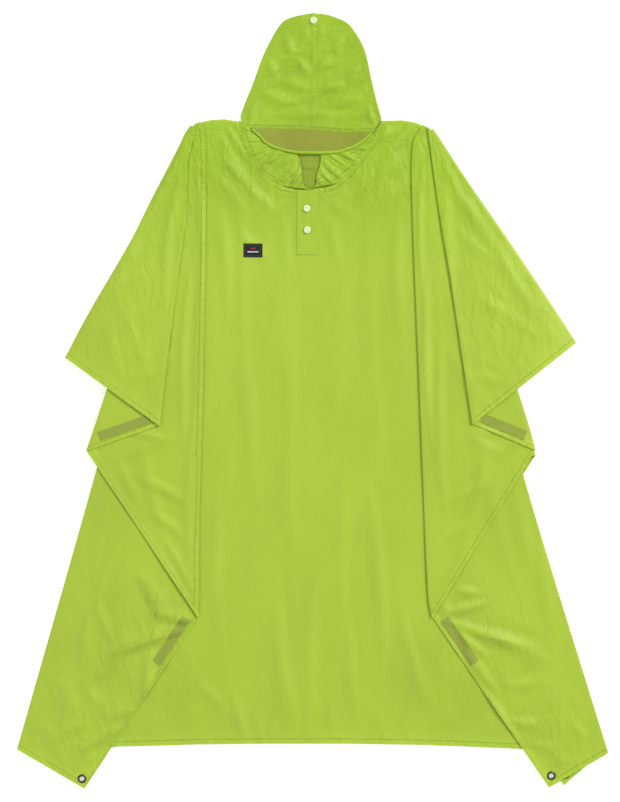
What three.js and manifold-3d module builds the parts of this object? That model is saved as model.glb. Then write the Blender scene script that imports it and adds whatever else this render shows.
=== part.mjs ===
// Rain poncho laid flat on its back, its side panels folded in and out from the shoulder corners.
// Millimetres, +Y from the hem to the hood, +Z up, the floor at z = 0.
import * as THREE from "three";
import { mergeVertices } from "three/addons/utils/BufferGeometryUtils.js";
import Module from "manifold-3d";

const wasm = await Module();
wasm.setup();

// Cloth wall, and the height from one layer's middle to the next one's.
const WALL = 1.0;
const HALF = WALL / 2;
const PITCH = 1.8;
const GAP = 0.3;
const SEAM = 0.7;
const HEM_STEP = 0.25;
// A layer lifts what lies on it fully out to NEAR beyond its edge, and not at all past FAR.
const NEAR = 30;
const FAR = 150;

const STRIP = { width: 16, thick: 1.0, inset: 9, stand: 0.12 };
const STRIP_RISE = 1.8;
const PLACKET = { width: 38, top: 366, bottom: 256, x: -9.2, thick: 1.2 };
const UNDERLAP = { width: 46, top: 364, bottom: 262, x: -11.5, thick: 1.0 };
const SLIT = { left: -19, right: 0.6, bottom: 276 };
const LABEL = { width: 33, height: 24, x: -104.7, y: 263.1, thick: 1.0 };
const CAP = { radius: 6.2, rim: 1.1, dome: 2.2 };
const EYELET = { outer: 8, hole: 4, barrel: 4.9, flange: 0.7, cut: 5.4 };
const CORNER = { near: 80, far: 150 };
const VISOR = { thick: 2.0, binding: 4.2, lift: 0.5 };
const GATHER = { count: 5, height: 1.8 };

// Rows down every fold line, as shares of its length; the last band is the hem.
const ROWS = [
  0, 0.045, 0.0975, 0.165, 0.245, 0.32, 0.39, 0.455, 0.52, 0.585, 0.66, 0.75, 0.85, 0.94, 0.987, 1,
];
const SLIT_ROW = 2;

// Fold lines from the shoulder corner down, [x, y], numbered from the centre panel's own edge.
const FRONT = {
  left: {
    fold1: [[-208.5, 476.7], [-338.4, 21.9], [-378.8, -122], [-518.4, -611.9]],
    fold2: [[-195, 483.7], [-189.2, 460.9], [-187.4, 316.9], [-192.7, 18.4], [-198.5, -197.5],
      [-199.7, -379.2]],
    fold3: [[-208.5, 476.7], [-359.5, 21.9], [-396.3, -88.7]],
    fold4: [[-203, 481], [-213, 440], [-219, 413.5], [-222.5, 316.9], [-236.6, 211.6], [-254.1, 76.4],
      [-267.3, -43.9]],
    shoulder: [[-213.9, 481.9], [-223.8, 467.2], [-237.1, 438.9], [-282.2, 352], [-319.1, 278.3],
      [-391.1, 155.4], [-434.1, 74.6]],
    corner: [-399.9, -680.7],
  },
  right: {
    fold1: [[207.5, 473.2], [341, 18.4], [369.1, -130.8], [518.4, -618.5]],
    fold2: [[190, 480], [174.3, 439.8], [175.1, 316.9], [188.3, -9.7], [200.6, -315.1], [208.5, -380.1]],
    fold3: [[207.5, 473.2], [358.6, 18.4], [390.2, -86.9]],
    fold4: [[200, 478.5], [206, 440], [209.4, 413.5], [223.4, 316.9], [241, 211.6], [258.5, 93.9],
      [278.7, -41.3]],
    shoulder: [[211.1, 475.9], [220.8, 461.7], [251.7, 413.5], [293.6, 352], [344.6, 278.3],
      [427.1, 155.4], [462.2, 101]],
    corner: [414.3, -678.6],
  },
};
const BACK = {
  left: {
    fold1: [[-207.5, 474.7], [-334, 21.9], [-374, -122], [-514, -609]],
    fold2: [[-195, 479], [-186, 440], [-184, 316.9], [-190, 18.4], [-196, -197.5], [-203, -374]],
    fold3: [[-207.5, 474.7], [-350, 21.9], [-385, -80]],
    fold4: [[-202, 478], [-211, 440], [-216, 413.5], [-219, 316.9], [-233, 211.6], [-250, 76.4],
      [-262, -36]],
    shoulder: [[-213.9, 481.9], [-223.8, 467.2], [-237.1, 438.9], [-282.2, 352], [-319.1, 278.3],
      [-391.1, 155.4], [-434.1, 74.6]],
    corner: [-423, -664],
  },
  right: {
    fold1: [[206.5, 471.2], [338, 18.4], [366, -130.8], [514, -612]],
    fold2: [[191, 476], [173, 439.8], [173, 316.9], [185, -9.7], [197, -315.1], [205, -384]],
    fold3: [[206.5, 471.2], [354, 18.4], [391, -98]],
    fold4: [[199, 476], [204, 440], [208, 413.5], [220, 316.9], [238, 211.6], [255, 93.9], [274, -46]],
    shoulder: [[211.1, 475.9], [220.8, 461.7], [251.7, 413.5], [293.6, 352], [344.6, 278.3],
      [427.1, 155.4], [462.2, 101]],
    corner: [441.1, -675.1],
  },
};

// The centre panels' rulings, left to right: [top x, top y, hem x, hem y], between the two first folds.
const FRONT_RULINGS = [
  [-203.5, 479.5, -452, -609.5], [-200, 484, -384, -608], [-196.9, 487.9, -318, -606.5],
  [-178.1, 491.9, -252, -605], [-155.3, 493.4, -200, -603.5], [-127.7, 489, -150, -603],
  [-122.5, 457.4, -122, -602.6], [-110.2, 425.8, -100, -602.4], [-89.1, 394.2, -80, -602.2],
  [-57.5, 376.6, -50, -602.2], [-27.7, 369.6, -27.7, -602.2], [SLIT.left, 369.8, SLIT.left, -602.2],
  [SLIT.right, 371.2, SLIT.right, -602.2], [24.7, 373.4, 24.7, -602.2], [42.6, 380.6, 48, -602.2],
  [69.4, 402.2, 76, -602.4], [93.5, 434.5, 98, -602.8], [114.6, 462.6, 120, -603.2],
  [123.3, 490.7, 148, -603.6], [156.3, 491.4, 200, -604.6], [172, 489.2, 252, -606.4],
  [189.9, 483.9, 318, -609], [197, 481, 384, -612], [202, 477.5, 452, -615],
];
const FRONT_NECK = [5, 18];
const FRONT_CENTRE = { left: 10, right: 13 };
const BACK_RULINGS = [
  [-200, 484, -410, -606], [-193, 488.7, -300, -603], [-170, 492.2, -215, -602],
  [-127.7, 489, -150, -600], [-112, 455, -110, -599.6], [-80, 429, -75, -599.4], [-42, 416, -40, -599.2],
  [0.4, 412.1, 0.4, -599.2], [42, 416, 40, -599.2], [80, 429, 75, -599.4], [110, 455, 110, -599.8],
  [123.3, 490.7, 148, -600.6], [165, 489.8, 215, -602.5], [189.9, 483.9, 300, -605], [199, 480, 410, -609],
];
const BACK_NECK = [3, 11];
const BACK_CENTRE = 7;
const TOP_EDGE = 493;
const BACK_TOP = [1, 13];
const FRONT_TOP = [2, 21];

// Shares across each folded wedge at which rulings stand.
const WEDGES = {
  lowerOuter: [0.5, 1],
  lowerInner: [0.2, 0.4, 0.6, 0.8],
  middle: [0.25, 0.5, 0.75],
  upper: [0.5],
  sleeve: [0.33, 0.67],
};
// Shares of the half circle at which a fold's turn has its points.
const TURNS = { front: [0, 0.33, 0.67, 1], back: [0, 0.5, 1] };

// Hood outline, face edge and neck seams for each half: [x, y] rows that pair up, centre seam first.
const HOOD = {
  left: {
    outline: [[0, 679.8], [-26, 675.5], [-48.7, 667.5], [-61, 654], [-73.8, 631.7], [-88.2, 601.3],
      [-102.4, 561.8], [-116.8, 525.8], [-125, 503], [-126.4, 494.5]],
    brow: [[0, 472.6], [-14, 473.4], [-28, 473.9], [-42, 473.9], [-56, 473.9], [-68.4, 474.2],
      [-80, 475], [-92, 476], [-102, 477], [-109.6, 477.4]],
    face: [[-109.6, 477.4], [-101, 468], [-90, 460], [-76, 453], [-58, 447], [-40, 442.5],
      [-29.1, 435], [-22.5, 420], [-19.4, 405.7], [-18.9, 396], [-19.4, 387.8], [-23.6, 376.4]],
  },
  right: {
    outline: [[0.6, 679.8], [24, 677.5], [44, 671], [60, 663], [74.9, 645.9], [91.7, 613.6],
      [103.5, 561.8], [112.4, 525], [118, 505], [120.9, 494.5]],
    brow: [[0.6, 472.6], [14, 471.6], [28, 470.3], [42, 468.9], [54, 467.8], [64, 467.6],
      [76, 468], [88, 469], [97, 469.8], [105.4, 470.2]],
    face: [[105.4, 470.2], [98, 461], [88, 453.5], [75, 447], [58, 442.5], [36, 440],
      [16.5, 436], [14, 420], [12.2, 409.4], [9, 400], [6.8, 391.3], [5.4, 375.8]],
  },
};
const VISOR_EDGE = [
  [-106, 477.2], [-91.7, 465.8], [-79.1, 452.4], [-55.9, 442.6], [-29.1, 437.3], [-6, 436.4],
  [15.7, 436.3], [42.6, 438], [69.4, 446], [87.5, 456.6], [103, 470.4],
];
const VISOR_BROW = [
  [-107.5, 478.5], [-92, 477.6], [-80, 476.8], [-56, 476], [-28, 476], [-6, 475.4], [14, 474],
  [42, 471.4], [66, 470.4], [88, 471.2], [104, 471.8],
];
const CAPS = { upper: [-10.3, 336.6], lower: [-9.7, 299], hood: [1.5, 667] };
const EYES = {
  front_left: [-404.6, -663.1], front_right: [418.3, -657.9],
  back_left: [-424.4, -648], back_right: [443.5, -656],
};
const EYE_HEIGHT = { front: 6.2, back: 2.35 };

const COLOURS = {
  cloth: { color: 0xb1cb43, roughness: 0.5 },
  reverse: { color: 0xa9c543, roughness: 0.55 },
  visor: { color: 0x929e39, roughness: 0.6 },
  hook: { color: 0x9bac44, roughness: 0.9 },
  snap: { color: 0xe2f1b6, roughness: 0.35 },
  nickel: { color: 0x3a3a36, roughness: 0.3, metalness: 0.9 },
  label: { color: 0x141414, roughness: 0.8 },
};

const mix = (a, b, t) => a + (b - a) * t;
const mixPoint = (a, b, t) => [mix(a[0], b[0], t), mix(a[1], b[1], t)];
const sub = (a, b) => [a[0] - b[0], a[1] - b[1], a[2] - b[2]];
const cross = (a, b) => [
  a[1] * b[2] - a[2] * b[1],
  a[2] * b[0] - a[0] * b[2],
  a[0] * b[1] - a[1] * b[0],
];
const unit = (v) => {
  const size = Math.hypot(...v) || 1;
  return v.map((c) => c / size);
};

// The point at share t of a polyline's length.
function along(line, t) {
  const runs = line.slice(1).map((p, i) => Math.hypot(p[0] - line[i][0], p[1] - line[i][1]));
  let left = t * runs.reduce((a, b) => a + b, 0);
  for (let i = 0; i < runs.length; i++) {
    if (left <= runs[i] || i === runs.length - 1) return mixPoint(line[i], line[i + 1], left / runs[i]);
    left -= runs[i];
  }
  return line[line.length - 1];
}

// How far a point lies outside a closed outline; 0 inside it.
function outsideBy(outline, x, y) {
  let inside = false;
  let nearest = Infinity;
  for (let i = 0, j = outline.length - 1; i < outline.length; j = i++) {
    const [ax, ay] = outline[j];
    const [bx, by] = outline[i];
    if (ay > y !== by > y && x < ((bx - ax) * (y - ay)) / (by - ay) + ax) inside = !inside;
    const dx = bx - ax;
    const dy = by - ay;
    const t = Math.max(0, Math.min(1, ((x - ax) * dx + (y - ay) * dy) / (dx * dx + dy * dy)));
    nearest = Math.min(nearest, Math.hypot(x - ax - t * dx, y - ay - t * dy));
  }
  return inside ? 0 : nearest;
}

// 1 out to near, then a smooth fall to 0 at far.
function fade(distance, near, far) {
  const t = Math.max(0, Math.min(1, (far - distance) / (far - near)));
  return t * t * (3 - 2 * t);
}

// A rectangle from a to b, inset from that line, wide as given; side is 1 or -1.
function band(a, b, inset, width, side) {
  const d = unit([b[0] - a[0], b[1] - a[1]]);
  const n = [-d[1] * side, d[0] * side];
  const at = (p, k) => [p[0] + n[0] * k, p[1] + n[1] * k];
  return [at(a, inset), at(b, inset), at(b, inset + width), at(a, inset + width)];
}

function box(x, top, bottom, width) {
  return [[x - width / 2, bottom], [x + width / 2, bottom], [x + width / 2, top], [x - width / 2, top]];
}

// Strips of hook and loop along the side edge, measured back from a fold's tip.
function stripOutline(sideName, panel, level) {
  const s = panel[sideName];
  const side = sideName === "left" ? -1 : 1;
  const upper = level === "upper";
  const from = upper ? s.fold4.at(-1) : s.fold2.at(-1);
  const to = upper ? s.fold3.at(-1) : s.corner;
  const length = Math.hypot(to[0] - from[0], to[1] - from[1]);
  const span = upper ? [0.1, 0.78] : [0.04, 0.3];
  const start = mixPoint(from, to, span[0]);
  const end = mixPoint(from, to, span[1]);
  return band(start, end, STRIP.inset, STRIP.width, side);
}

const wedge = (s, a, b, corner = []) => [...s[a], ...corner, ...s[b].slice().reverse()];
function centreOutline(panel, rulings) {
  const top = rulings.map((r) => [r[0], r[1]]);
  const hem = rulings.map((r) => [r[2], r[3]]);
  return [...top, ...panel.right.fold1, ...hem.reverse(), ...panel.left.fold1.slice().reverse()];
}
const bothSides = (make) => [make("left"), make("right")];

// Everything that lies in the stack, from the floor up.
const STACK = [
  { name: "back1", rise: PITCH, shapes: [centreOutline(BACK, BACK_RULINGS)] },
  { name: "matesLower", rise: STRIP_RISE, shapes: bothSides((s) => stripOutline(s, BACK, "lower")) },
  {
    name: "back2",
    rise: PITCH,
    shapes: bothSides((s) => wedge(BACK[s], "fold1", "fold2", [BACK[s].corner])),
  },
  { name: "back3", rise: PITCH, shapes: bothSides((s) => wedge(BACK[s], "fold2", "fold3")) },
  { name: "matesUpper", rise: STRIP_RISE, shapes: bothSides((s) => stripOutline(s, BACK, "upper")) },
  { name: "back4", rise: PITCH, shapes: bothSides((s) => wedge(BACK[s], "fold3", "fold4")) },
  { name: "back5", rise: PITCH, shapes: bothSides((s) => wedge(BACK[s], "fold4", "shoulder")) },
  {
    name: "underlap",
    rise: STRIP_RISE,
    shapes: [box(UNDERLAP.x, UNDERLAP.top, UNDERLAP.bottom, UNDERLAP.width)],
  },
  { name: "front1", rise: PITCH, shapes: [centreOutline(FRONT, FRONT_RULINGS)] },
  {
    name: "front2",
    rise: PITCH,
    shapes: bothSides((s) => wedge(FRONT[s], "fold1", "fold2", [FRONT[s].corner])),
  },
  { name: "stripsLower", rise: STRIP_RISE, shapes: bothSides((s) => stripOutline(s, FRONT, "lower")) },
  { name: "front3", rise: PITCH, shapes: bothSides((s) => wedge(FRONT[s], "fold2", "fold3")) },
  { name: "front4", rise: PITCH, shapes: bothSides((s) => wedge(FRONT[s], "fold3", "fold4")) },
  { name: "stripsUpper", rise: STRIP_RISE, shapes: bothSides((s) => stripOutline(s, FRONT, "upper")) },
  { name: "front5", rise: PITCH, shapes: bothSides((s) => wedge(FRONT[s], "fold4", "shoulder")) },
];

// How far to each side a folded layer looks for the highest place beneath it, by its number.
const REACH = [0, 0, 7, 27, 34, 40];
const AROUND = [[0, 0], [1, 0], [-1, 0], [0, 1], [0, -1]];

// Height of a layer's middle at a place, bridging small hollows as stretched cloth does.
function layerHeight(name, x, y) {
  const reach = name.startsWith("front") ? REACH[Number(name.slice(-1))] : 0;
  const places = reach ? AROUND : [AROUND[0]];
  return Math.max(...places.map(([dx, dy]) => restHeight(name, x + dx * reach, y + dy * reach)));
}

// Height of a layer's middle at a place: the floor, half the wall, and all that lies beneath.
function restHeight(name, x, y) {
  let z = HALF;
  for (const layer of STACK) {
    if (layer.name === name) break;
    const distance = Math.min(...layer.shapes.map((shape) => outsideBy(shape, x, y)));
    z += layer.rise * fade(distance, NEAR, FAR);
  }
  const panel = name.startsWith("front") ? "front" : "back";
  const rank = Number(name.slice(-1));
  if (rank !== 2) return z;
  for (const side of ["left", "right"]) {
    const eye = EYES[`${panel}_${side}`];
    const share = fade(Math.hypot(x - eye[0], y - eye[1]), CORNER.near, CORNER.far);
    z = Math.max(z, mix(z, EYE_HEIGHT[panel], share));
  }
  return z;
}

// One panel's columns from its left shoulder line to its right one.
function panelColumns(panel, rulings, kind) {
  const columns = [];
  const layer = (rank) => `${kind}${rank}`;
  const rows = (line) => ROWS.map((t) => along(line, t));
  const other = kind === "front" ? "back5" : "front5";

  const insetRows = (line, radius, side) =>
    rows(line).map((p, k, all) => {
      const a = all[Math.max(0, k - 1)];
      const b = all[Math.min(all.length - 1, k + 1)];
      const d = unit([b[0] - a[0], b[1] - a[1]]);
      return {
        at: [p[0] - d[1] * side * -radius[k], p[1] + d[0] * side * -radius[k]],
        out: [-d[1] * side, d[0] * side],
      };
    });

  const turn = (line, side, from, to) => {
    const tips = rows(line);
    const radius = tips.map(
      (p) => Math.abs(layerHeight(layer(from), ...p) - layerHeight(layer(to), ...p)) / 2,
    );
    const base = insetRows(line, radius, side);
    return TURNS[kind].map((t) =>
      base.map((b, k) => {
        const low = layerHeight(layer(from), ...tips[k]);
        const high = layerHeight(layer(to), ...tips[k]);
        const angle = Math.PI * t;
        return [
          b.at[0] + b.out[0] * radius[k] * Math.sin(angle),
          b.at[1] + b.out[1] * radius[k] * Math.sin(angle),
          mix(low, high, (1 - Math.cos(angle)) / 2),
        ];
      }),
    );
  };
  const sheet = (a, b, shares, rank) =>
    shares.map((t) =>
      a.map((p, k) => {
        const at = mixPoint(p, b[k], t);
        return [at[0], at[1], layerHeight(layer(rank), ...at)];
      }),
    );
  const shoulder = (line, side) => {
    const tips = rows(line);
    const mine = tips.map((p) => layerHeight(layer(5), ...p));
    const theirs = tips.map((p) => layerHeight(other, ...p));
    const radius = mine.map((z, k) => Math.abs(z - theirs[k]) / 2);
    const base = insetRows(line, radius, side);
    return [0, 0.5, 1].map((t) =>
      base.map((b, k) => {
        const angle = (Math.PI / 2 - Math.asin(SEAM / 2 / radius[k])) * t;
        return [
          b.at[0] + b.out[0] * radius[k] * Math.sin(angle),
          b.at[1] + b.out[1] * radius[k] * Math.sin(angle),
          (mine[k] + theirs[k]) / 2 + ((mine[k] - theirs[k]) / 2) * Math.cos(angle),
        ];
      }),
    );
  };
  const halfPanel = (sideName) => {
    const s = panel[sideName];
    const outer = sideName === "left" ? 1 : -1;
    const t1 = turn(s.fold1, -outer, 1, 2);
    const t2 = turn(s.fold2, outer, 2, 3);
    const t3 = turn(s.fold3, -outer, 3, 4);
    const t4 = turn(s.fold4, outer, 4, 5);
    const flat = (c) => c.map((p) => [p[0], p[1]]);
    const end = shoulder(s.shoulder, -outer);
    const cornerLine = rows([mixPoint(s.fold1[0], s.fold2[0], 0.5), s.corner]);
    const runs = [
      [t1, [1, 2]],
      [sheet(flat(t1.at(-1)), cornerLine, WEDGES.lowerOuter, 2), [2, 2]],
      [sheet(cornerLine, flat(t2[0]), WEDGES.lowerInner, 2), [2, 2]],
      [t2, [2, 3]],
      [sheet(flat(t2.at(-1)), flat(t3[0]), WEDGES.middle, 3), [3, 3]],
      [t3, [3, 4]],
      [sheet(flat(t3.at(-1)), flat(t4[0]), WEDGES.upper, 4), [4, 4]],
      [t4, [4, 5]],
      [sheet(flat(t4.at(-1)), flat(end[0]), WEDGES.sleeve, 5), [5, 5]],
      [end, [5, 5]],
    ];
    return runs.flatMap(([list, ends]) =>
      list.map((points, i) => ({
        points,
        ranks: i === 0 ? [ends[0]] : i === list.length - 1 ? [ends[1]] : ends,
      })),
    );
  };
  const left = halfPanel("left").reverse();
  const right = halfPanel("right");
  columns.push(...left.map((c) => c.points));
  const centreStart = columns.length;
  for (const r of rulings)
    columns.push(
      rows([[r[0], r[1]], [r[2], r[3]]]).map((p) => [p[0], p[1], layerHeight(layer(1), ...p)]),
    );
  const rightStart = columns.length;
  columns.push(...right.map((c) => c.points));
  // First and last column of a numbered layer on one side.
  const span = (side, rank) => {
    const list = side === "left" ? left : right;
    const whole = list
      .map((c, i) => (c.ranks.length === 1 && c.ranks[0] === rank ? i : -1))
      .filter((i) => i >= 0);
    const start = side === "left" ? 0 : rightStart;
    return [start + whole[0], start + whole.at(-1)];
  };
  return { columns, centreStart, span };
}

// The top edge of a centre panel bends over to meet the other panel's edge.
function bendTopEdge(made, range, neck, kind) {
  const { columns, centreStart } = made;
  const bend = columns.map(() => null);
  for (let i = range[0]; i <= range[1]; i++) {
    if (i > neck[0] && i < neck[1]) continue;
    const column = columns[centreStart + i];
    const [x, y] = column[0];
    const mine = layerHeight(`${kind}1`, x, y);
    const theirs = layerHeight(kind === "front" ? "back1" : "front1", x, y);
    const radius = Math.abs(mine - theirs) / 2;
    column[0] = [x, y - radius, mine];
    bend[centreStart + i] = [1, 0.5].map((t) => {
      const angle = (Math.PI / 2 - Math.asin(SEAM / 2 / radius)) * t;
      const middle = (mine + theirs) / 2;
      return [x, y - radius + radius * Math.sin(angle), middle + ((mine - theirs) / 2) * Math.cos(angle)];
    });
  }
  const blank = [null, null];
  return columns.map((column, i) => [...(bend[i] || blank), ...column]);
}

// A cloth wall on a grid of middle points; keep(i, j) says which quads exist, half(i, j) the half wall.
function wallFrom(grid, keep, half = () => HALF) {
  const wide = grid.length;
  const high = grid[0].length;
  const has = (i, j) =>
    i >= 0 && j >= 0 && i < wide - 1 && j < high - 1 &&
    grid[i][j] && grid[i + 1][j] && grid[i][j + 1] && grid[i + 1][j + 1] && keep(i, j);
  const normals = grid.map((column) => column.map(() => [0, 0, 0]));
  const quads = [];
  for (let i = 0; i < wide - 1; i++)
    for (let j = 0; j < high - 1; j++) {
      if (!has(i, j)) continue;
      quads.push([i, j]);
      const n = unit(
        cross(sub(grid[i + 1][j + 1], grid[i][j]), sub(grid[i][j + 1], grid[i + 1][j])),
      );
      for (const [a, b] of [[i, j], [i + 1, j], [i, j + 1], [i + 1, j + 1]])
        normals[a][b] = normals[a][b].map((c, k) => c + n[k]);
    }
  const positions = [];
  const index = new Map();
  const vertex = (i, j, face) => {
    const key = (i * high + j) * 2 + face;
    if (!index.has(key)) {
      const n = unit(normals[i][j]);
      const h = half(i, j) * (face ? 1 : -1);
      index.set(key, positions.length / 3);
      positions.push(...grid[i][j].map((c, k) => c + n[k] * h));
    }
    return index.get(key);
  };
  const faces = [];
  const quad = (a, b, c, d) => faces.push(a, b, c, a, c, d);
  for (const [i, j] of quads) {
    const corners = [[i, j], [i + 1, j], [i + 1, j + 1], [i, j + 1]];
    const up = corners.map((c) => vertex(...c, 1));
    const low = corners.map((c) => vertex(...c, 0));
    quad(up[0], up[1], up[2], up[3]);
    quad(low[2], low[1], low[0], low[3]);
    const beyond = [has(i, j - 1), has(i + 1, j), has(i, j + 1), has(i - 1, j)];
    beyond.forEach((open, k) => {
      const next = (k + 1) % 4;
      if (!open) quad(up[next], up[k], low[k], low[next]);
    });
  }
  return solidGeometry(positions, faces);
}

function solidGeometry(positions, faces) {
  let volume = 0;
  const at = (v) => positions.slice(v * 3, v * 3 + 3);
  for (let i = 0; i < faces.length; i += 3) {
    const [a, b, c] = [at(faces[i]), at(faces[i + 1]), at(faces[i + 2])];
    const n = cross(b, c);
    volume += a[0] * n[0] + a[1] * n[1] + a[2] * n[2];
  }
  const turned = volume < 0 ? flip(faces) : faces;
  const geometry = new THREE.BufferGeometry();
  geometry.setAttribute("position", new THREE.Float32BufferAttribute(positions, 3));
  geometry.setIndex(turned);
  return geometry;
}

function flip(faces) {
  const out = [];
  for (let i = 0; i < faces.length; i += 3) out.push(faces[i], faces[i + 2], faces[i + 1]);
  return out;
}

function manifoldOf(geometry) {
  const plain = geometry.clone();
  plain.deleteAttribute("normal");
  plain.deleteAttribute("uv");
  const merged = mergeVertices(plain, 1e-4);
  return new wasm.Manifold(
    new wasm.Mesh({
      numProp: 3,
      vertProperties: merged.attributes.position.array,
      triVerts: new Uint32Array(merged.index.array),
    }),
  );
}

function geometryOf(solid) {
  const mesh = solid.getMesh();
  const geometry = new THREE.BufferGeometry();
  geometry.setAttribute("position", new THREE.Float32BufferAttribute(mesh.vertProperties, 3));
  geometry.setIndex(Array.from(mesh.triVerts));
  return geometry;
}

// Height of the cloth's middle over a point, read off its own triangles.
function heightOn(grid, keep, x, y, pick) {
  let best = null;
  for (let i = 0; i < grid.length - 1; i++)
    for (let j = 0; j < grid[0].length - 1; j++) {
      const [a, b, c, d] = [grid[i][j], grid[i + 1][j], grid[i + 1][j + 1], grid[i][j + 1]];
      if (!a || !b || !c || !d || !keep(i, j)) continue;
      for (const [p, q, r] of [[a, b, c], [a, c, d]]) {
        const area = (q[0] - p[0]) * (r[1] - p[1]) - (r[0] - p[0]) * (q[1] - p[1]);
        if (Math.abs(area) < 1e-6) continue;
        const u = ((x - p[0]) * (r[1] - p[1]) - (r[0] - p[0]) * (y - p[1])) / area;
        const v = ((q[0] - p[0]) * (y - p[1]) - (x - p[0]) * (q[1] - p[1])) / area;
        if (u < -1e-6 || v < -1e-6 || u + v > 1 + 1e-6) continue;
        const z = p[2] + u * (q[2] - p[2]) + v * (r[2] - p[2]);
        if (best === null || pick(z, best)) best = z;
      }
    }
  return best;
}
const highest = (a, b) => a > b;

const frontMade = panelColumns(FRONT, FRONT_RULINGS, "front");
const frontGrid = bendTopEdge(frontMade, FRONT_TOP, FRONT_NECK, "front");
const backMade = panelColumns(BACK, BACK_RULINGS, "back");
const backGrid = bendTopEdge(backMade, BACK_TOP, BACK_NECK, "back");
const EXTRA = 2;
const slitColumn = frontMade.centreStart + FRONT_RULINGS.findIndex((r) => r[0] === SLIT.left);
const keepFront = (i, j) => !(i === slitColumn && j < EXTRA + SLIT_ROW);
const keepBack = () => true;
const hemHalf = (i, j) => (j >= EXTRA + ROWS.length - 2 ? HALF + HEM_STEP : HALF);

function ring(eye, z) {
  const e = EYELET;
  const cloth = HALF + HEM_STEP + GAP;
  const profile = [
    [e.hole, -cloth - e.flange], [e.outer, -cloth - e.flange], [e.outer, -cloth], [e.barrel, -cloth],
    [e.barrel, cloth], [e.outer, cloth], [e.outer, cloth + e.flange], [e.hole, cloth + e.flange],
    [e.hole, -cloth - e.flange],
  ].map(([r, h]) => new THREE.Vector2(r, h));
  const geometry = new THREE.LatheGeometry(profile, 20);
  geometry.rotateX(Math.PI / 2);
  geometry.translate(eye[0], eye[1], z);
  return solidFacingOut(geometry);
}

function solidFacingOut(geometry) {
  const plain = geometry.clone();
  plain.deleteAttribute("normal");
  plain.deleteAttribute("uv");
  const merged = mergeVertices(plain, 1e-4);
  const kept = [];
  const f = merged.index.array;
  for (let i = 0; i < f.length; i += 3)
    if (f[i] !== f[i + 1] && f[i + 1] !== f[i + 2] && f[i] !== f[i + 2]) {
      kept.push(f[i], f[i + 1], f[i + 2]);
    }
  return solidGeometry(Array.from(merged.attributes.position.array), kept);
}

// Cuts the round holes for a panel's eyelets.
function pierce(geometry, panel) {
  let solid = manifoldOf(geometry);
  for (const side of ["left", "right"]) {
    const eye = EYES[`${panel}_${side}`];
    const drill = new THREE.CylinderGeometry(EYELET.cut, EYELET.cut, 4, 20);
    drill.rotateX(Math.PI / 2);
    drill.translate(eye[0], eye[1], EYE_HEIGHT[panel]);
    solid = solid.subtract(manifoldOf(drill));
  }
  return geometryOf(solid);
}

// A flat trim that lies on a surface: rows and columns of its outline, each point set over the cloth.
function trim(outline, along1, across, over, thick) {
  const [a, b, c, d] = outline;
  const grid = [];
  for (let i = 0; i <= along1; i++) {
    const column = [];
    for (let j = 0; j <= across; j++) {
      const p = mixPoint(mixPoint(a, b, i / along1), mixPoint(d, c, i / along1), j / across);
      column.push([p[0], p[1], over(p[0], p[1]) + HALF + GAP + thick / 2]);
    }
    grid.push(column);
  }
  return wallFrom(grid, () => true, () => thick / 2);
}

function cap(at, z) {
  const profile = [
    [0, 0],
    [CAP.radius, 0],
    [CAP.radius, CAP.rim],
    [CAP.radius * 0.7, CAP.dome * 0.86],
    [0, CAP.dome],
  ];
  const geometry = new THREE.LatheGeometry(profile.map(([r, h]) => new THREE.Vector2(r, h)), 20);
  geometry.rotateX(Math.PI / 2);
  geometry.translate(at[0], at[1], z);
  return solidFacingOut(geometry);
}

// Height of the hood's upper cloth: that of the front panel's neck edge, held level past the shoulders.
function collarHeight(x, y) {
  return Math.max(HALF + PITCH, layerHeight("front1", x, Math.min(y, TOP_EDGE)));
}

// One half of a panel's neck edge from the centre out, moved a seam's gap into the neck hole.
function neckline(rulings, neck, centre, sideName) {
  const line = sideName === "left"
    ? rulings.slice(neck[0], centre + 1).reverse()
    : rulings.slice(centre, neck[1] + 1);
  const side = sideName === "left" ? -1 : 1;
  return line.map((r, i) => {
    const a = line[Math.max(0, i - 1)];
    const b = line[Math.min(line.length - 1, i + 1)];
    const d = unit([b[0] - a[0], b[1] - a[1]]);
    const x = r[0] - d[1] * side * 1.5 * GAP;
    return [i === 0 ? Math.max(x * side, GAP) * side : x, r[1] + d[0] * side * 1.5 * GAP];
  });
}

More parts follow.
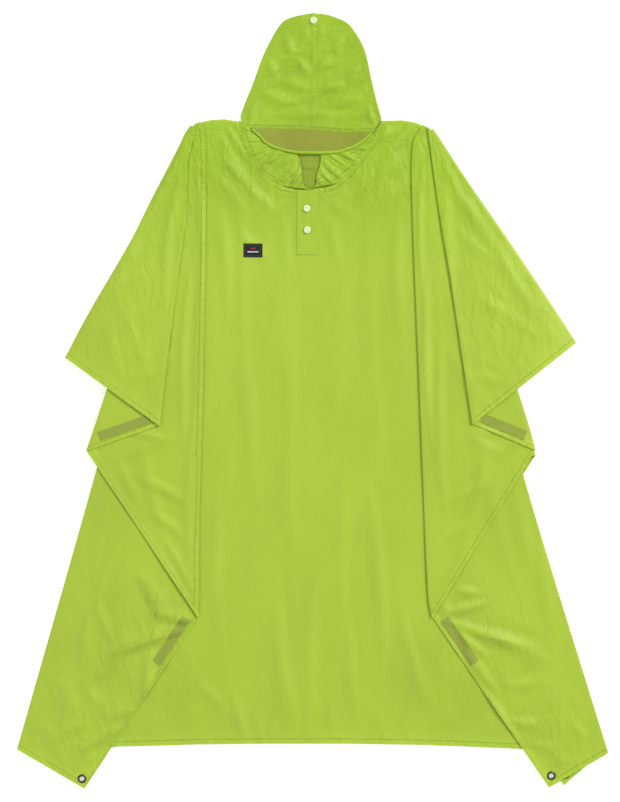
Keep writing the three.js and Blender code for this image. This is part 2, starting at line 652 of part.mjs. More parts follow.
// The hood half: top layer from brow to outline, a turn, the under layer to the nape, then the cheek.
function hoodGrid(sideName) {
  const half = HOOD[sideName];
  const steps = [0, 0.3, 0.6, 0.85, 1];
  const low = HALF;
  const high = collarHeight;
  const napeLine = neckline(BACK_RULINGS, BACK_NECK, BACK_CENTRE, sideName);
  const seamLine = neckline(FRONT_RULINGS, FRONT_NECK, FRONT_CENTRE[sideName], sideName).reverse();
  const columns = half.outline.map((tip, r) => {
    const brow = half.brow[r];
    const nape = along(napeLine, r / (half.outline.length - 1));
    const top = high(...tip);
    const radius = (top - low) / 2;
    const d = unit([tip[0] - brow[0], tip[1] - brow[1]]);
    const base = [tip[0] - d[0] * radius, tip[1] - d[1] * radius];
    const upper = steps.map((t) => {
      const p = mixPoint(brow, base, t);
      return [p[0], p[1], high(...p)];
    });
    const bend = [0.25, 0.5, 0.75].map((t) => [
      base[0] + d[0] * radius * Math.sin(Math.PI * t),
      base[1] + d[1] * radius * Math.sin(Math.PI * t),
      mix(top, low, (1 - Math.cos(Math.PI * t)) / 2),
    ]);
    const under = steps.map((t) => {
      const p = mixPoint(base, nape, t);
      return [p[0], p[1], low];
    });
    return [...upper, ...bend, ...under];
  });
  const cheekCount = 23;
  for (let q = 1; q < cheekCount; q++) {
    const t = q / (cheekCount - 1);
    const face = along(half.face, t);
    const seam = along(seamLine, t);
    const wave = (1 - Math.cos(2 * Math.PI * GATHER.count * t)) / 2;
    columns.push(
      steps.map((v) => {
        const p = mixPoint(face, seam, v);
        const swell = Math.sin(Math.PI * Math.max(0, (v - 0.3) / 0.7)) ** 2;
        const rise = GATHER.height * wave * swell * Math.sin(Math.PI * t);
        return [p[0], p[1], high(...p) + rise];
      }).concat(Array(8).fill(null)),
    );
  }
  return columns;
}

function visorGrid(outline, inner, height) {
  return outline.map((edge, i) => [0, 0.5, 1].map((t) => {
    const p = mixPoint(inner[i], edge, t);
    return [p[0], p[1], height(...p)];
  }));
}

const parts = [];
const add = (name, geometry, look) => parts.push({ name, geometry, look });

add("front_panel", pierce(wallFrom(frontGrid, keepFront, hemHalf), "front"), COLOURS.cloth);
add("back_panel", pierce(wallFrom(backGrid, keepBack), "back"), COLOURS.cloth);
const hoodLeft = hoodGrid("left");
const hoodRight = hoodGrid("right");
add("hood_left", wallFrom(hoodLeft, () => true), COLOURS.cloth);
add("hood_right", wallFrom(hoodRight, () => true), COLOURS.cloth);

const onFront = (x, y) => heightOn(frontGrid, keepFront, x, y, highest);

const visorHeight = (x, y) => collarHeight(x, y) + HALF + GAP + VISOR.thick / 2 + VISOR.lift;
add(
  "visor",
  wallFrom(visorGrid(VISOR_EDGE, VISOR_BROW, visorHeight), () => true, () => VISOR.thick / 2),
  COLOURS.visor,
);
const rim = VISOR_EDGE.map((p, i, all) => {
  const a = all[Math.max(0, i - 1)];
  const b = all[Math.min(all.length - 1, i + 1)];
  const d = unit([b[0] - a[0], b[1] - a[1]]);
  return [
    [p[0] + d[1] * GAP, p[1] - d[0] * GAP],
    [p[0] + d[1] * VISOR.binding, p[1] - d[0] * VISOR.binding],
  ];
});
add("visor_binding", wallFrom(
  rim.map((pair) => pair.map((p) => [p[0], p[1], visorHeight(...p)])), () => true, () => VISOR.thick / 2 + 0.3,
), COLOURS.cloth);

const placketOutline = box(PLACKET.x, PLACKET.top, PLACKET.bottom, PLACKET.width);
const overSlit = (x, y) => {
  const found = onFront(x, y);
  return found === null ? onFront(SLIT.left, y) : found;
};
add("placket", trim(placketOutline, 4, 6, overSlit, PLACKET.thick), COLOURS.cloth);
const underOutline = box(UNDERLAP.x, UNDERLAP.top, UNDERLAP.bottom, UNDERLAP.width);
const onBackCentre = (x, y) => heightOn(backGrid, keepBack, x, y, (a, b) => a < b);
add("placket_underlap", trim(underOutline, 4, 6, onBackCentre, UNDERLAP.thick), COLOURS.reverse);

const label = box(LABEL.x, LABEL.y + LABEL.height / 2, LABEL.y - LABEL.height / 2, LABEL.width);
add("label", trim(label, 2, 2, onFront, LABEL.thick), COLOURS.label);

for (const [name, at] of Object.entries(CAPS)) {
  const lift = name === "hood" ? HALF + PITCH + HALF + GAP
    : overSlit(...at) + HALF + 2 * GAP + PLACKET.thick;
  add(`snap_cap_${name}`, cap(at, lift + (name === "hood" ? 0.1 : 0)), COLOURS.snap);
}
for (const [name, at] of Object.entries(EYES))
  add(`eyelet_${name}`, ring(at, EYE_HEIGHT[name.split("_")[0]]), COLOURS.nickel);

// Each strip sits on one fold of its panel, so only that fold's columns are read.
function foldHeight(made, grid, sideName, rank) {
  const [first, last] = made.span(sideName, rank);
  return (x, y) => heightOn(grid.slice(first, last + 1), () => true, x, y, highest);
}
for (const sideName of ["left", "right"]) {
  for (const [level, rank] of [["lower", 2], ["upper", 4]]) {
    const fold = foldHeight(frontMade, frontGrid, sideName, rank);
    const front = (x, y) => fold(x, y) + STRIP.stand;
    const frontShape = stripOutline(sideName, FRONT, level);
    add(`strip_${level}_${sideName}`, trim(frontShape, 6, 2, front, STRIP.thick), COLOURS.hook);
    const back = foldHeight(backMade, backGrid, sideName, rank);
    const backShape = stripOutline(sideName, BACK, level);
    const under = (x, y) => back(x, y) - WALL - 2 * GAP - STRIP.thick;
    add(`mate_${level}_${sideName}`, trim(backShape, 4, 1, under, STRIP.thick), COLOURS.hook);
  }
}

const group = new THREE.Group();
group.name = "rain_poncho";
for (const { name, geometry, look } of parts) {
  const mesh = new THREE.Mesh(geometry, new THREE.MeshStandardMaterial(look));
  mesh.name = name;
  group.add(mesh);
}
export default group;
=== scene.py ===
"""Rain poncho laid flat: cloth, sewing, trims, floor, light and camera around the part."""

import math

import bmesh
import bpy
import numpy as np
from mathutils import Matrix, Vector


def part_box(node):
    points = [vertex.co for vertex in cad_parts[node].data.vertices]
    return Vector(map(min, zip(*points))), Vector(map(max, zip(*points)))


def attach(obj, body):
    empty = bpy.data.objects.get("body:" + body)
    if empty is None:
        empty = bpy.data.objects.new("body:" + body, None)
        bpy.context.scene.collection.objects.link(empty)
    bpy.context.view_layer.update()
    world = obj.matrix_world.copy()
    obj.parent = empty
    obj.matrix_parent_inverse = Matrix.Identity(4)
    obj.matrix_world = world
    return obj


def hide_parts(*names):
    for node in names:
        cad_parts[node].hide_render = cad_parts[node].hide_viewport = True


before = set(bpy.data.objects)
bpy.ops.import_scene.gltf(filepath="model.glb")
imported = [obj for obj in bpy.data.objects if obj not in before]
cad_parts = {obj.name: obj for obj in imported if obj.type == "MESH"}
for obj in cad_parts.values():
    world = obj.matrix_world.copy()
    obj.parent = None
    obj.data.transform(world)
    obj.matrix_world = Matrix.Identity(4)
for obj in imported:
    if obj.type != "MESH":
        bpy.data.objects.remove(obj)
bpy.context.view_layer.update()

bl_info = {
    "name": "Rain Poncho",
    "version": (1, 0, 0),
    "blender": (4, 5, 0),
    "location": "3D View > Sidebar > Rain Poncho",
    "description": "Builds a laid-out rain poncho from its sizes",
    "category": "Object",
}

MM = 0.001
ROOT = "root"

# Heights of the stack, in millimetres.
FLOOR_MIDDLE = 0.45
PITCH = 1.8
STRIP_RISE = 1.8
NEAR, FAR = 30.0, 150.0
SHELL = 0.5
HEM_SHELL = 0.95
HEM_WIDTH = 9.0
EDGE_ROWS = 10
EDGE_STEP = 3.2
SEAM = 0.5
RASTER = 6.0
REACH = [0, 0, 7, 27, 34, 40]
CORNER = {"near": 80.0, "far": 150.0}
EYE_HEIGHT = {"front": 6.2, "back": 2.35}
EYES = {
    "front_left": (-404.6, -663.1),
    "front_right": (418.3, -657.9),
    "back_left": (-424.4, -648.0),
    "back_right": (443.5, -656.0),
}
CREASE = {
    "height": 2.0, "width": 1.0, "trough": 0.28, "trough_at": 1.7, "bow": 0.03, "lead": 0.8,
}
# The neck slit lies between two of the front's rulings, from its bottom up.
SLIT = {"from": 11, "to": 12, "bottom": 276.0}
STRIP = {"width": 16.0, "thick": 0.7, "inset": 9.0}
# Where a tape starts and ends along its side edge, as shares of the edge's length.
STRIP_SHARES = {"lower": (0.04, 0.3), "upper": (0.1, 0.78)}
TAPE_LAYERS = {"lower": 2, "upper": 4}
PLACKET = {"width": 38.0, "top": 369.0, "bottom": 256.0, "x": -9.2}
UNDERLAP = {"width": 46.0, "top": 364.0, "bottom": 262.0, "x": -11.5}
LABEL = {"width": 33.0, "top": 275.1, "bottom": 251.1, "x": -104.7}
# Plain woven bars on the label: name, height above its middle, width, height of the bar.
LABEL_BARS = [("bar_red", 3.6, 9.0, 1.8), ("bar_white", -2.6, 19.0, 2.2)]
CAPS = {"upper": (-10.3, 336.6), "lower": (-9.7, 299.0), "hood": (1.5, 667.0)}
CAP = {"radius": 6.2, "depth": 1.6, "bevel": 0.35}
# Steps of a snap cap's face from its rim inwards: width and rise.
CAP_STEPS = [(1.5, 0.45), (1.6, 0.12), (0.7, -0.3)]
RING = {"middle": 5.9, "roll": 1.95, "flatness": 0.86, "drill": 5.2}
VISOR = {"rows": 12, "rise": 2.3, "crown": 0.35, "thick": 1.6}
# Section of the visor's rim: outwards from the edge, and up.
RIM_PROFILE = [(-0.6, 0.9), (1.2, 1.25), (3.0, 1.15), (4.1, 0.4), (4.2, -0.3), (3.2, -1.0),
               (1.2, -1.2), (-0.6, -0.9)]
TOP_EDGE = 493.0
LIFT = 0.12
# Thread lengths: pitch, and length, width and height of one.
THREADS = {
    "placket": (2.8, (1.9, 0.5, 0.3)),
    "tapes": (3.0, (2.0, 0.5, 0.3)),
    "label": (2.2, (1.6, 0.6, 0.3)),
}
THREAD_SIZE = (2.4, 0.55, 0.32)
# How far stitch lines lie from the edge they hold down.
SEWN_AT = {"neck": (2.5, 6.0), "brow": 7.0, "face": 4.0, "underlap": 3.5, "tape": 2.2}
# Thickness of the trims, and how high the bars and tapes lie.
THICK = {"placket": 0.9, "underlap": 0.6, "label": 0.7, "bar": 0.18}
BAR_LIFT = 0.76
TAPE_LIFT = {"front": 0.15, "back": -0.9}
SIDES = ("left", "right")

# Mesh spacing of each layer as shares of the step, wider where another layer lies over it.
LAYER_STEPS = {1: 1.05, 2: 1.0, 3: 1.5, 4: 1.5, 5: 1.35, "hidden": 2.6}
BACK_STEP = 1.3
ROW_RUN = 680.0
PANEL_RUN = 1080.0
SHORTEST_ROW = 60.0
HEM_BEND = 0.86
COVERED_FROM = 195.0
# Share of the rows against share of the length: closest at the neck and near the hem.
ROW_SPREAD = ((0.0, 0.25, 0.5, 1.0), (0.0, 0.21, 0.62, 1.0))
HOOD_GRID = {"across": 46, "rows": 40, "under": 26, "cheek": 110}
# Height of the neck's gathers, how much they differ, the ripples between them, and their lean.
GATHER = {"tall": 3.2, "uneven": 1.3, "ripple": 0.9, "lean": 0.35}
# A point this far from every sewn edge shows no sewing, in millimetres.
CLEAR_OF_EDGE = 200.0
# The left pleat's sewn band reaches this far from its fold.
PLEAT_REACH = 60.0
SMOOTH_ANGLE = 40

# Where the cloth seen through the neck slit is painted with shade: x and y ranges.
NECK_WINDOW = ((-34, 30), (340, 470))

CAMERA = {"x": -0.0048, "y": -0.0009, "width": 1.0885, "height": 4.5, "sensor": 36.0}
# Lights: name, place, size in metres and power in watts; all aim at the origin.
LIGHTS = [
    ("Key", (4.6, 4.2, 5.3), (3.0, 3.0), 560.0),
    ("Fill", (-5.5, -1.5, 5.5), (4.0, 4.0), 130.0),
]
SKY_STRENGTH = 0.54
FLOOR_GLOW = 0.43
WHITE = (1, 1, 1, 1)

# Tints that multiply the cloth's colour: painted shade in a stitch groove, and a darker, greener
# tint high on the garment.
GROOVE_SHADE = (0.76, 0.80, 0.62, 1.0)
HIGH_TINT = (0.82, 0.92, 0.42, 1.0)
HIGH_FROM, HIGH_TO = 0.20, 0.48
# Heights of the bump, in metres: broad waves, sharp folds, fine crumples, weave and sewing.
RELIEF = {
    "broad": 0.0060, "folds": 0.0062, "fine": 0.0010, "weave": 0.00004, "pucker": 0.0022,
    "groove": -0.0004,
}

# Cloth finishes: label, light tone, dark tone, roughness, crumple, sheen and lean of the folds.
# A tone given as one number is a share of the cloth's colour.
# A cloth's light tone is painted light on the crests of its broad waves, its dark tone painted
# shade in their hollows.
CLOTHS = {
    "cloth": ("Lime coated cloth", 1.02, 0.95, None, 1.0, 0.15, 0.0),
    "hood": ("Hood cloth", 1.0, 0.9, None, 1.3, 0.15, 1.0),
    # The visor's olive tones are painted shade over what is lime cloth.
    "visor": ("Visor underside", (0.310, 0.320, 0.054), (0.280, 0.290, 0.048), 0.6, 0.35, 0.05,
              0.0),
    # This olive finish is painted shade: the cloth in the neck gap, under the placket and under
    # the hood.
    "shaded_inside": ("Coated reverse", (0.278, 0.352, 0.032), (0.240, 0.305, 0.026), 0.55, 0.8, 0.15,
              0.0),
}
# Other finishes: label, colour, roughness, metal share, and the grain's scale, depth and tones.
GRAINED = {
    "tape": ("Napped tape", (0.262, 0.322, 0.042), 0.9, 0.0, 1400.0, 0.0004, 0.25),
    "thread": ("Sewing thread", 0.9, 0.7, 0.0, 2500.0, 0.00005, 0.12),
    "snap": ("Snap caps", (0.64, 0.73, 0.42), 0.32, 0.0, 700.0, 0.00001, 0.03),
    "nickel": ("Dark nickel", (0.09, 0.088, 0.08), 0.3, 1.0, 1200.0, 0.00002, 0.3),
    "label": ("Black woven label", (0.004, 0.004, 0.0042), 0.85, 0.0, 1800.0, 0.00015, 0.4),
    "bar_red": ("Red woven bar", (0.35, 0.02, 0.015), 0.8, 0.0, 2200.0, 0.00008, 0.3),
    "bar_white": ("White woven bar", (0.5, 0.5, 0.5), 0.8, 0.0, 2200.0, 0.00008, 0.2),
    "border": ("Label thread", (0.10, 0.10, 0.10), 0.7, 0.0, 2500.0, 0.00005, 0.12),
}

# The sleeve flaps' edge along each shoulder, the same on both panels: [x, y] in millimetres.
SHOULDER = {
    "left": [[-213.9, 481.9], [-223.8, 467.2], [-237.1, 438.9], [-282.2, 352],
             [-319.1, 278.3], [-391.1, 155.4], [-434.1, 74.6]],
    "right": [[211.1, 475.9], [220.8, 461.7], [251.7, 413.5], [293.6, 352],
              [344.6, 278.3], [427.1, 155.4], [462.2, 101]],
}
# Fold lines from the shoulder corner down, as in the part: [x, y] in millimetres.
FRONT = {
    "left": {
        "fold1": [[-208.5, 482.5], [-338.4, 21.9], [-378.8, -122], [-518.4, -611.9]],
        "fold2": [[-195, 483.7], [-189.2, 460.9], [-187.4, 316.9], [-192.7, 18.4],
                  [-198.5, -197.5], [-199.7, -379.2]],
        "fold3": [[-208.5, 482.5], [-359.5, 21.9], [-396.3, -88.7]],
        "fold4": [[-203, 486], [-213, 440], [-219, 413.5], [-222.5, 316.9], [-236.6, 211.6],
                  [-254.1, 76.4], [-267.3, -43.9]],
        "shoulder": SHOULDER["left"],
        "corner": [-399.9, -680.7],
    },
    "right": {
        "fold1": [[207.5, 473.2], [341, 18.4], [369.1, -130.8], [518.4, -618.5]],
        "fold2": [[190, 480], [174.3, 439.8], [175.1, 316.9], [188.3, -9.7],
                  [200.6, -315.1], [208.5, -380.1]],
        "fold3": [[207.5, 473.2], [358.6, 18.4], [390.2, -86.9]],
        "fold4": [[200, 478.5], [206, 440], [209.4, 413.5], [223.4, 316.9], [241, 211.6],
                  [258.5, 93.9], [278.7, -41.3]],
        "shoulder": SHOULDER["right"],
        "corner": [414.3, -678.6],
    },
}
BACK = {
    "left": {
        "fold1": [[-207.5, 474.7], [-334, 21.9], [-374, -122], [-514, -609]],
        "fold2": [[-195, 479], [-186, 440], [-184, 316.9], [-190, 18.4], [-196, -197.5],
                  [-203, -374]],
        "fold3": [[-207.5, 474.7], [-350, 21.9], [-385, -80]],
        "fold4": [[-202, 478], [-211, 440], [-216, 413.5], [-219, 316.9], [-233, 211.6],
                  [-250, 76.4], [-262, -36]],
        "shoulder": SHOULDER["left"],
        "corner": [-423, -664],
    },
    "right": {
        "fold1": [[206.5, 471.2], [338, 18.4], [366, -130.8], [514, -612]],
        "fold2": [[191, 476], [173, 439.8], [173, 316.9], [185, -9.7], [197, -315.1],
                  [205, -384]],
        "fold3": [[206.5, 471.2], [354, 18.4], [391, -98]],
        "fold4": [[199, 476], [204, 440], [208, 413.5], [220, 316.9], [238, 211.6],
                  [255, 93.9], [274, -46]],
        "shoulder": SHOULDER["right"],
        "corner": [441.1, -675.1],
    },
}
# Centre panels' rulings: top x, top y, hem x, hem y.
FRONT_RULINGS = [
    [-203.5, 485, -452, -609.5], [-200, 488, -384, -608], [-196.9, 487.9, -318, -606.5],
    [-178.1, 491.9, -252, -605], [-155.3, 493.4, -200, -603.5], [-127.7, 489, -150, -603],
    [-122.5, 457.4, -122, -602.6], [-110.2, 425.8, -100, -602.4], [-89.1, 394.2, -80, -602.2],
    [-57.5, 376.6, -50, -602.2], [-27.7, 369.6, -27.7, -602.2], [-19, 369.8, -19, -602.2],
    [0.6, 371.2, 0.6, -602.2], [24.7, 373.4, 24.7, -602.2], [42.6, 380.6, 48, -602.2],
    [69.4, 402.2, 76, -602.4], [93.5, 434.5, 98, -602.8], [114.6, 462.6, 120, -603.2],
    [123.3, 490.7, 148, -603.6], [156.3, 491.4, 200, -604.6], [172, 489.2, 252, -606.4],
    [189.9, 483.9, 318, -609], [197, 481, 384, -612], [202, 477.5, 452, -615],
]
BACK_RULINGS = [
    [-200, 484, -410, -606], [-193, 488.7, -300, -603], [-170, 492.2, -215, -602],
    [-127.7, 489, -150, -600], [-112, 455, -110, -599.6], [-80, 429, -75, -599.4],
    [-42, 416, -40, -599.2], [0.4, 412.1, 0.4, -599.2], [42, 416, 40, -599.2],
    [80, 429, 75, -599.4], [110, 455, 110, -599.8], [123.3, 490.7, 148, -600.6],
    [165, 489.8, 215, -602.5], [189.9, 483.9, 300, -605], [199, 480, 410, -609],
]
# First and last ruling of the neck edge, those of the shoulder seams, and those at the middle.
NECKS = {"front": (5, 18), "back": (3, 11)}
TOPS = {"front": (2, 21), "back": (1, 13)}
CENTRES = {"front": {"left": 10, "right": 13}, "back": {"left": 7, "right": 7}}

# Hood outline, and the brow and face edges of each half, centre seam first.
HOOD = {
    "left": {
        "outline": [[-0.02, 679.8], [-26, 675.5], [-48.7, 667.5], [-61, 654], [-73.8, 631.7],
                    [-88.2, 601.3], [-102.4, 561.8], [-116.8, 525.8], [-125, 503],
                    [-126.4, 494.5]],
        "brow": [[-0.02, 472.6], [-14, 473.4], [-28, 473.9], [-42, 473.9], [-56, 473.9],
                 [-68.4, 474.2], [-80, 475], [-92, 476], [-102, 477], [-109.6, 477.4]],
        "face": [[-109.6, 477.4], [-101, 468], [-90, 460], [-76, 453], [-58, 447], [-40, 442.5],
                 [-29.1, 435], [-22.5, 420], [-19.4, 405.7], [-18.9, 396], [-19.4, 387.8],
                 [-23.6, 376.4]],
    },
    "right": {
        "outline": [[0.02, 679.8], [24, 677.5], [44, 671], [60, 663], [74.9, 645.9],
                    [91.7, 613.6], [103.5, 561.8], [112.4, 525], [118, 505], [120.9, 494.5]],
        "brow": [[0.02, 472.6], [14, 471.6], [28, 470.3], [42, 468.9], [54, 467.8], [64, 467.6],
                 [76, 468], [88, 469], [97, 469.8], [105.4, 470.2]],
        "face": [[105.4, 470.2], [98, 461], [88, 453.5], [75, 447], [58, 442.5], [36, 440],
                 [16.5, 436], [14, 420], [12.2, 409.4], [9, 400], [6.8, 391.3], [5.4, 375.8]],
    },
}
VISOR_EDGE = [
    [-106, 477.2], [-91.7, 465.8], [-79.1, 452.4], [-55.9, 442.6], [-29.1, 437.3], [-6, 436.4],
    [15.7, 436.3], [42.6, 438], [69.4, 446], [87.5, 456.6], [103, 470.4],
]
VISOR_BROW = [
    [-107.5, 478.5], [-92, 477.6], [-80, 476.8], [-56, 476], [-28, 476], [-6, 475.4], [14, 474],
    [42, 471.4], [66, 470.4], [88, 471.2], [104, 471.8],
]

# Soft creases by the layer they start on: line from x0, y0 to x1, y1, width and height, mm.
CREASES = {
    "front1": [
        # Centre panel, from the hem up.
        (-118, -598, -142, -505, 7, 1.8), (-92, -600, -106, -540, 6, 1.5),
        (-205, -500, -140, -560, 6, 1.6), (-228, -470, -150, -530, 8, 1.0),
        (-60, -330, -38, -598, 9, 1.7), (-44, -470, -22, -600, 6, 1.3),
        (6, -300, -2, -600, 11, 1.5), (30, -520, 40, -600, 6, 1.3), (95, -140, 118, -560, 10, 1.5),
        (66, -380, 84, -596, 8, 1.4), (-168, -200, -158, -470, 12, 1.2),
        (168, -430, 212, -560, 9, 1.8), (150, -360, 186, -480, 8, 1.2),
        (186, -500, 160, -596, 7, 1.2), (226, -520, 246, -600, 6, 1.2),
        (110, -540, 128, -600, 6, 1.1), (-12, -560, -6, -600, 5, 1.2),
        (-74, -560, -66, -600, 5, 1.0),
        # Chest and shoulders.
        (-168, 472, -122, 400, 7, 1.9), (-150, 480, -114, 424, 6, 2.0),
        (-176, 440, -96, 366, 8, 1.6), (-134, 486, -120, 448, 6, 1.6),
        (-182, 410, -110, 330, 8, 1.2), (-120, 380, -60, 330, 8, 1.3),
        (168, 474, 116, 412, 7, 1.9), (150, 480, 106, 440, 6, 1.8), (172, 430, 84, 356, 9, 1.6),
        (134, 484, 120, 452, 6, 1.6), (170, 390, 96, 310, 9, 1.3), (120, 380, 50, 330, 8, 1.4),
        (-165, 350, -152, 120, 10, 1.2), (150, 330, 160, 90, 10, 1.2),
        (-42, 352, -116, 300, 7, 1.2), (26, 352, 108, 296, 7, 1.3), (-52, 330, -40, 210, 8, 1.2),
        (34, 330, 48, 220, 8, 1.1), (-130, 300, -70, 240, 9, 0.9), (130, 290, 76, 250, 9, 0.9),
        (-60, 240, -28, -60, 16, 0.8), (60, 230, 44, -80, 18, 0.8), (-110, 60, -92, -240, 14, 0.8),
        (120, 40, 112, -160, 15, 0.7),
    ],
    "front2": [
        # Lower left wing: creases that run out from the fold's tip and its tape.
        (-206, -392, -300, -370, 6.9, 2.88), (-214, -398, -385, -462, 8.1, 3.25),
        (-250, -372, -318, -300, 10.3, 2.25), (-262, -384, -300, -330, 6.9, 2.5),
        (-300, -300, -390, -378, 13.8, 1.75), (-250, -455, -275, -520, 8.1, 2.5),
        (-282, -440, -292, -540, 10.3, 1.88), (-262, -470, -330, -560, 9.2, 1.75),
        (-380, -350, -352, -430, 9.2, 1.88), (-392, -378, -402, -470, 8.1, 1.88),
        (-340, -250, -384, -360, 11.5, 1.38), (-330, -460, -420, -500, 10.3, 1.5),
        (-310, -545, -372, -560, 6.9, 1.62), (-330, -575, -390, -600, 6.9, 1.75),
        (-352, -600, -420, -610, 6.9, 1.62), (-440, -480, -412, -560, 10.3, 1.38),
        (-372, -620, -420, -650, 5.7, 1.5), (-392, -560, -470, -600, 9.2, 1.5),
        (-470, -560, -440, -640, 8.1, 1.38), (-400, -500, -350, -560, 9.2, 1.25),
        # Lower right wing.
        (222, -372, 318, -348, 6.9, 2.75), (232, -384, 410, -436, 9.2, 2.75),
        (250, -400, 310, -452, 8.1, 2.38), (262, -424, 330, -520, 9.2, 1.88),
        (300, -398, 430, -462, 11.5, 1.75), (250, -330, 300, -338, 8.1, 1.75),
        (330, -500, 420, -488, 9.2, 1.5), (400, -240, 424, -420, 13.8, 1.25),
        (340, -560, 420, -566, 8.1, 1.5), (380, -600, 450, -612, 6.9, 1.62),
        (412, -620, 474, -640, 5.7, 1.62), (450, -560, 486, -600, 8.1, 1.38),
        (300, -500, 356, -590, 9.2, 1.38), (360, -160, 384, -300, 13.8, 1.12),
    ],
    "front3": [
        # The folds above them.
        (-212, 250, -222, -120, 7, 1.5), (-206, -20, -214, -340, 6, 1.4),
        (-240, -60, -360, -110, 8, 1.5), (-262, -64, -330, -56, 6, 1.8),
        (-218, -180, -322, -128, 9, 1.5), (-226, -240, -290, -190, 8, 1.3),
        (-214, -330, -262, -240, 7, 1.3), (-300, -70, -252, -258, 10, 1.0),
        (-340, -100, -300, -190, 9, 1.2), (-205, 420, -200, 120, 6, 1.2),
        (202, 240, 216, -130, 7, 1.5), (226, 120, 238, -240, 9, 1.5),
        (268, -60, 360, -108, 8, 1.5), (280, -58, 340, -50, 6, 1.6),
        (225, -190, 330, -136, 9, 1.4), (228, -250, 300, -200, 8, 1.3),
        (222, -330, 284, -226, 7, 1.4), (330, -90, 372, -60, 6, 1.6),
        (305, -72, 256, -270, 10, 1.0), (192, 420, 200, 130, 6, 1.3),
    ],
    "front5": [
        # Short flaps along the shoulders.
        (-226, 440, -292, 300, 8, 1.18), (-232, 400, -262, 120, 8, 1.12),
        (-300, 290, -352, 170, 9, 1.24), (-284, 236, -390, 150, 10, 0.99),
        (-270, 180, -402, 84, 9, 1.05), (-262, 52, -340, 24, 7, 0.99),
        (-330, 200, -296, 50, 9, 0.93), (-250, 300, -330, 214, 8, 0.99),
        (-360, 130, -332, 34, 7, 0.93), (-248, 340, -256, 170, 7, 0.93),
        (-382, 150, -402, 96, 6, 0.87), (-300, 120, -276, 10, 8, 0.81),
        (-306, 330, -330, 262, 6, 0.87), (-262, 410, -286, 356, 6, 0.87),
        (222, 440, 300, 280, 8, 1.18), (232, 396, 258, 110, 9, 1.05),
        (322, 282, 402, 132, 9, 1.05), (280, 190, 420, 100, 10, 0.93), (272, 46, 352, 30, 7, 0.99),
        (344, 214, 300, 50, 9, 0.87), (250, 300, 342, 226, 8, 0.93), (384, 150, 352, 48, 8, 0.87),
        (262, 360, 300, 300, 7, 0.99), (246, 440, 280, 392, 6, 0.93), (410, 130, 440, 96, 6, 0.87),
        (300, 120, 290, 0, 8, 0.81), (330, 310, 352, 252, 6, 0.93), (380, 230, 402, 180, 6, 0.87),
    ],
    "back1": [
        # Underneath.
        (-120, 380, -90, -200, 13, 0.8), (100, 360, 130, -150, 14, 0.8),
        (-30, 200, -10, -560, 12, 0.7), (60, -80, 70, -580, 11, 0.8),
        (-260, 200, -400, -420, 14, 0.7), (250, 180, 380, -400, 14, 0.7),
        (-240, -250, -300, -580, 10, 0.8), (220, -300, 290, -590, 10, 0.8),
        (-170, 440, -100, 380, 8, 1.0), (160, 440, 100, 370, 8, 1.0),
    ],
    "back3": [
        (-230, 100, -330, -40, 10, 0.8), (230, 100, 330, -40, 10, 0.8),
    ],
    "back5": [
        (-260, 380, -380, 120, 10, 0.9), (260, 380, 400, 140, 10, 0.9),
    ],
}
# Places where the cloth is more crumpled: x, y, reach and share.
CRUMPLED = [
    (0, 460, 190, 1.0), (-215, 430, 120, 0.8), (215, 430, 120, 0.8), (-120, 400, 110, 0.9),
    (120, 400, 110, 0.9), (-400, -590, 180, 0.7), (410, -590, 170, 0.6), (-310, -420, 160, 0.8),
    (320, -430, 150, 0.6), (-330, 170, 190, 0.6), (340, 170, 190, 0.6), (0, 600, 160, 0.8),
    (-10, 310, 60, 0.5), (-240, 330, 130, 0.5), (250, 330, 130, 0.5),
]
# The hood's own creases: line, width and height.
HOOD_CREASES = [
    (-30, 600, 0, 570, 7, 1.8), (32, 602, 2, 568, 7, 1.8), (-58, 560, -4, 545, 8, 1.6),
    (58, 556, 6, 540, 8, 1.6), (-92, 540, -20, 520, 9, 1.8), (90, 530, 24, 516, 9, 1.7),
    (-70, 500, 60, 497, 8, 1.4), (-50, 640, -30, 600, 8, 1.4), (52, 640, 36, 606, 8, 1.4),
    (-100, 520, -112, 484, 6, 1.4), (98, 515, 108, 480, 6, 1.4), (-16, 660, -10, 625, 5, 1.0),
    (18, 655, 12, 620, 5, 1.0), (-80, 600, -60, 560, 8, 1.2), (82, 590, 60, 552, 8, 1.2),
]


def deselect():
    """Clears the selection, which the frame's own nodes start in."""
    for one in bpy.context.selected_objects:
        one.select_set(False)
    bpy.context.view_layer.objects.active = None


def activate(one):
    """Makes one object the only selected and active one."""
    deselect()
    one.select_set(True)
    bpy.context.view_layer.objects.active = one


# Plane geometry.


def smooth_line(points, count=60):
    """A Catmull-Rom curve through points, as count points."""
    p = np.asarray(points, float)
    ends = np.vstack([2 * p[0] - p[1], p, 2 * p[-1] - p[-2]])
    out = []
    spans = len(p) - 1
    for u in np.linspace(0, spans, count):
        i = min(int(u), spans - 1)
        t = u - i
        a, b, c, d = ends[i : i + 4]
        out.append(0.5 * (2 * b + (c - a) * t + (2 * a - 5 * b + 4 * c - d) * t**2
                          + (3 * b - a - 3 * c + d) * t**3))
    return np.array(out)


def along(line, shares):
    """Points at shares of a polyline's length."""
    p = np.asarray(line, float)
    runs = np.hypot(*np.diff(p, axis=0).T)
    at = np.concatenate([[0], np.cumsum(runs)])
    s = np.asarray(shares, float) * at[-1]
    return np.stack([np.interp(s, at, p[:, k]) for k in range(p.shape[1])], axis=1)


def length_of(line):
    return float(np.hypot(*np.diff(np.asarray(line, float), axis=0).T).sum())


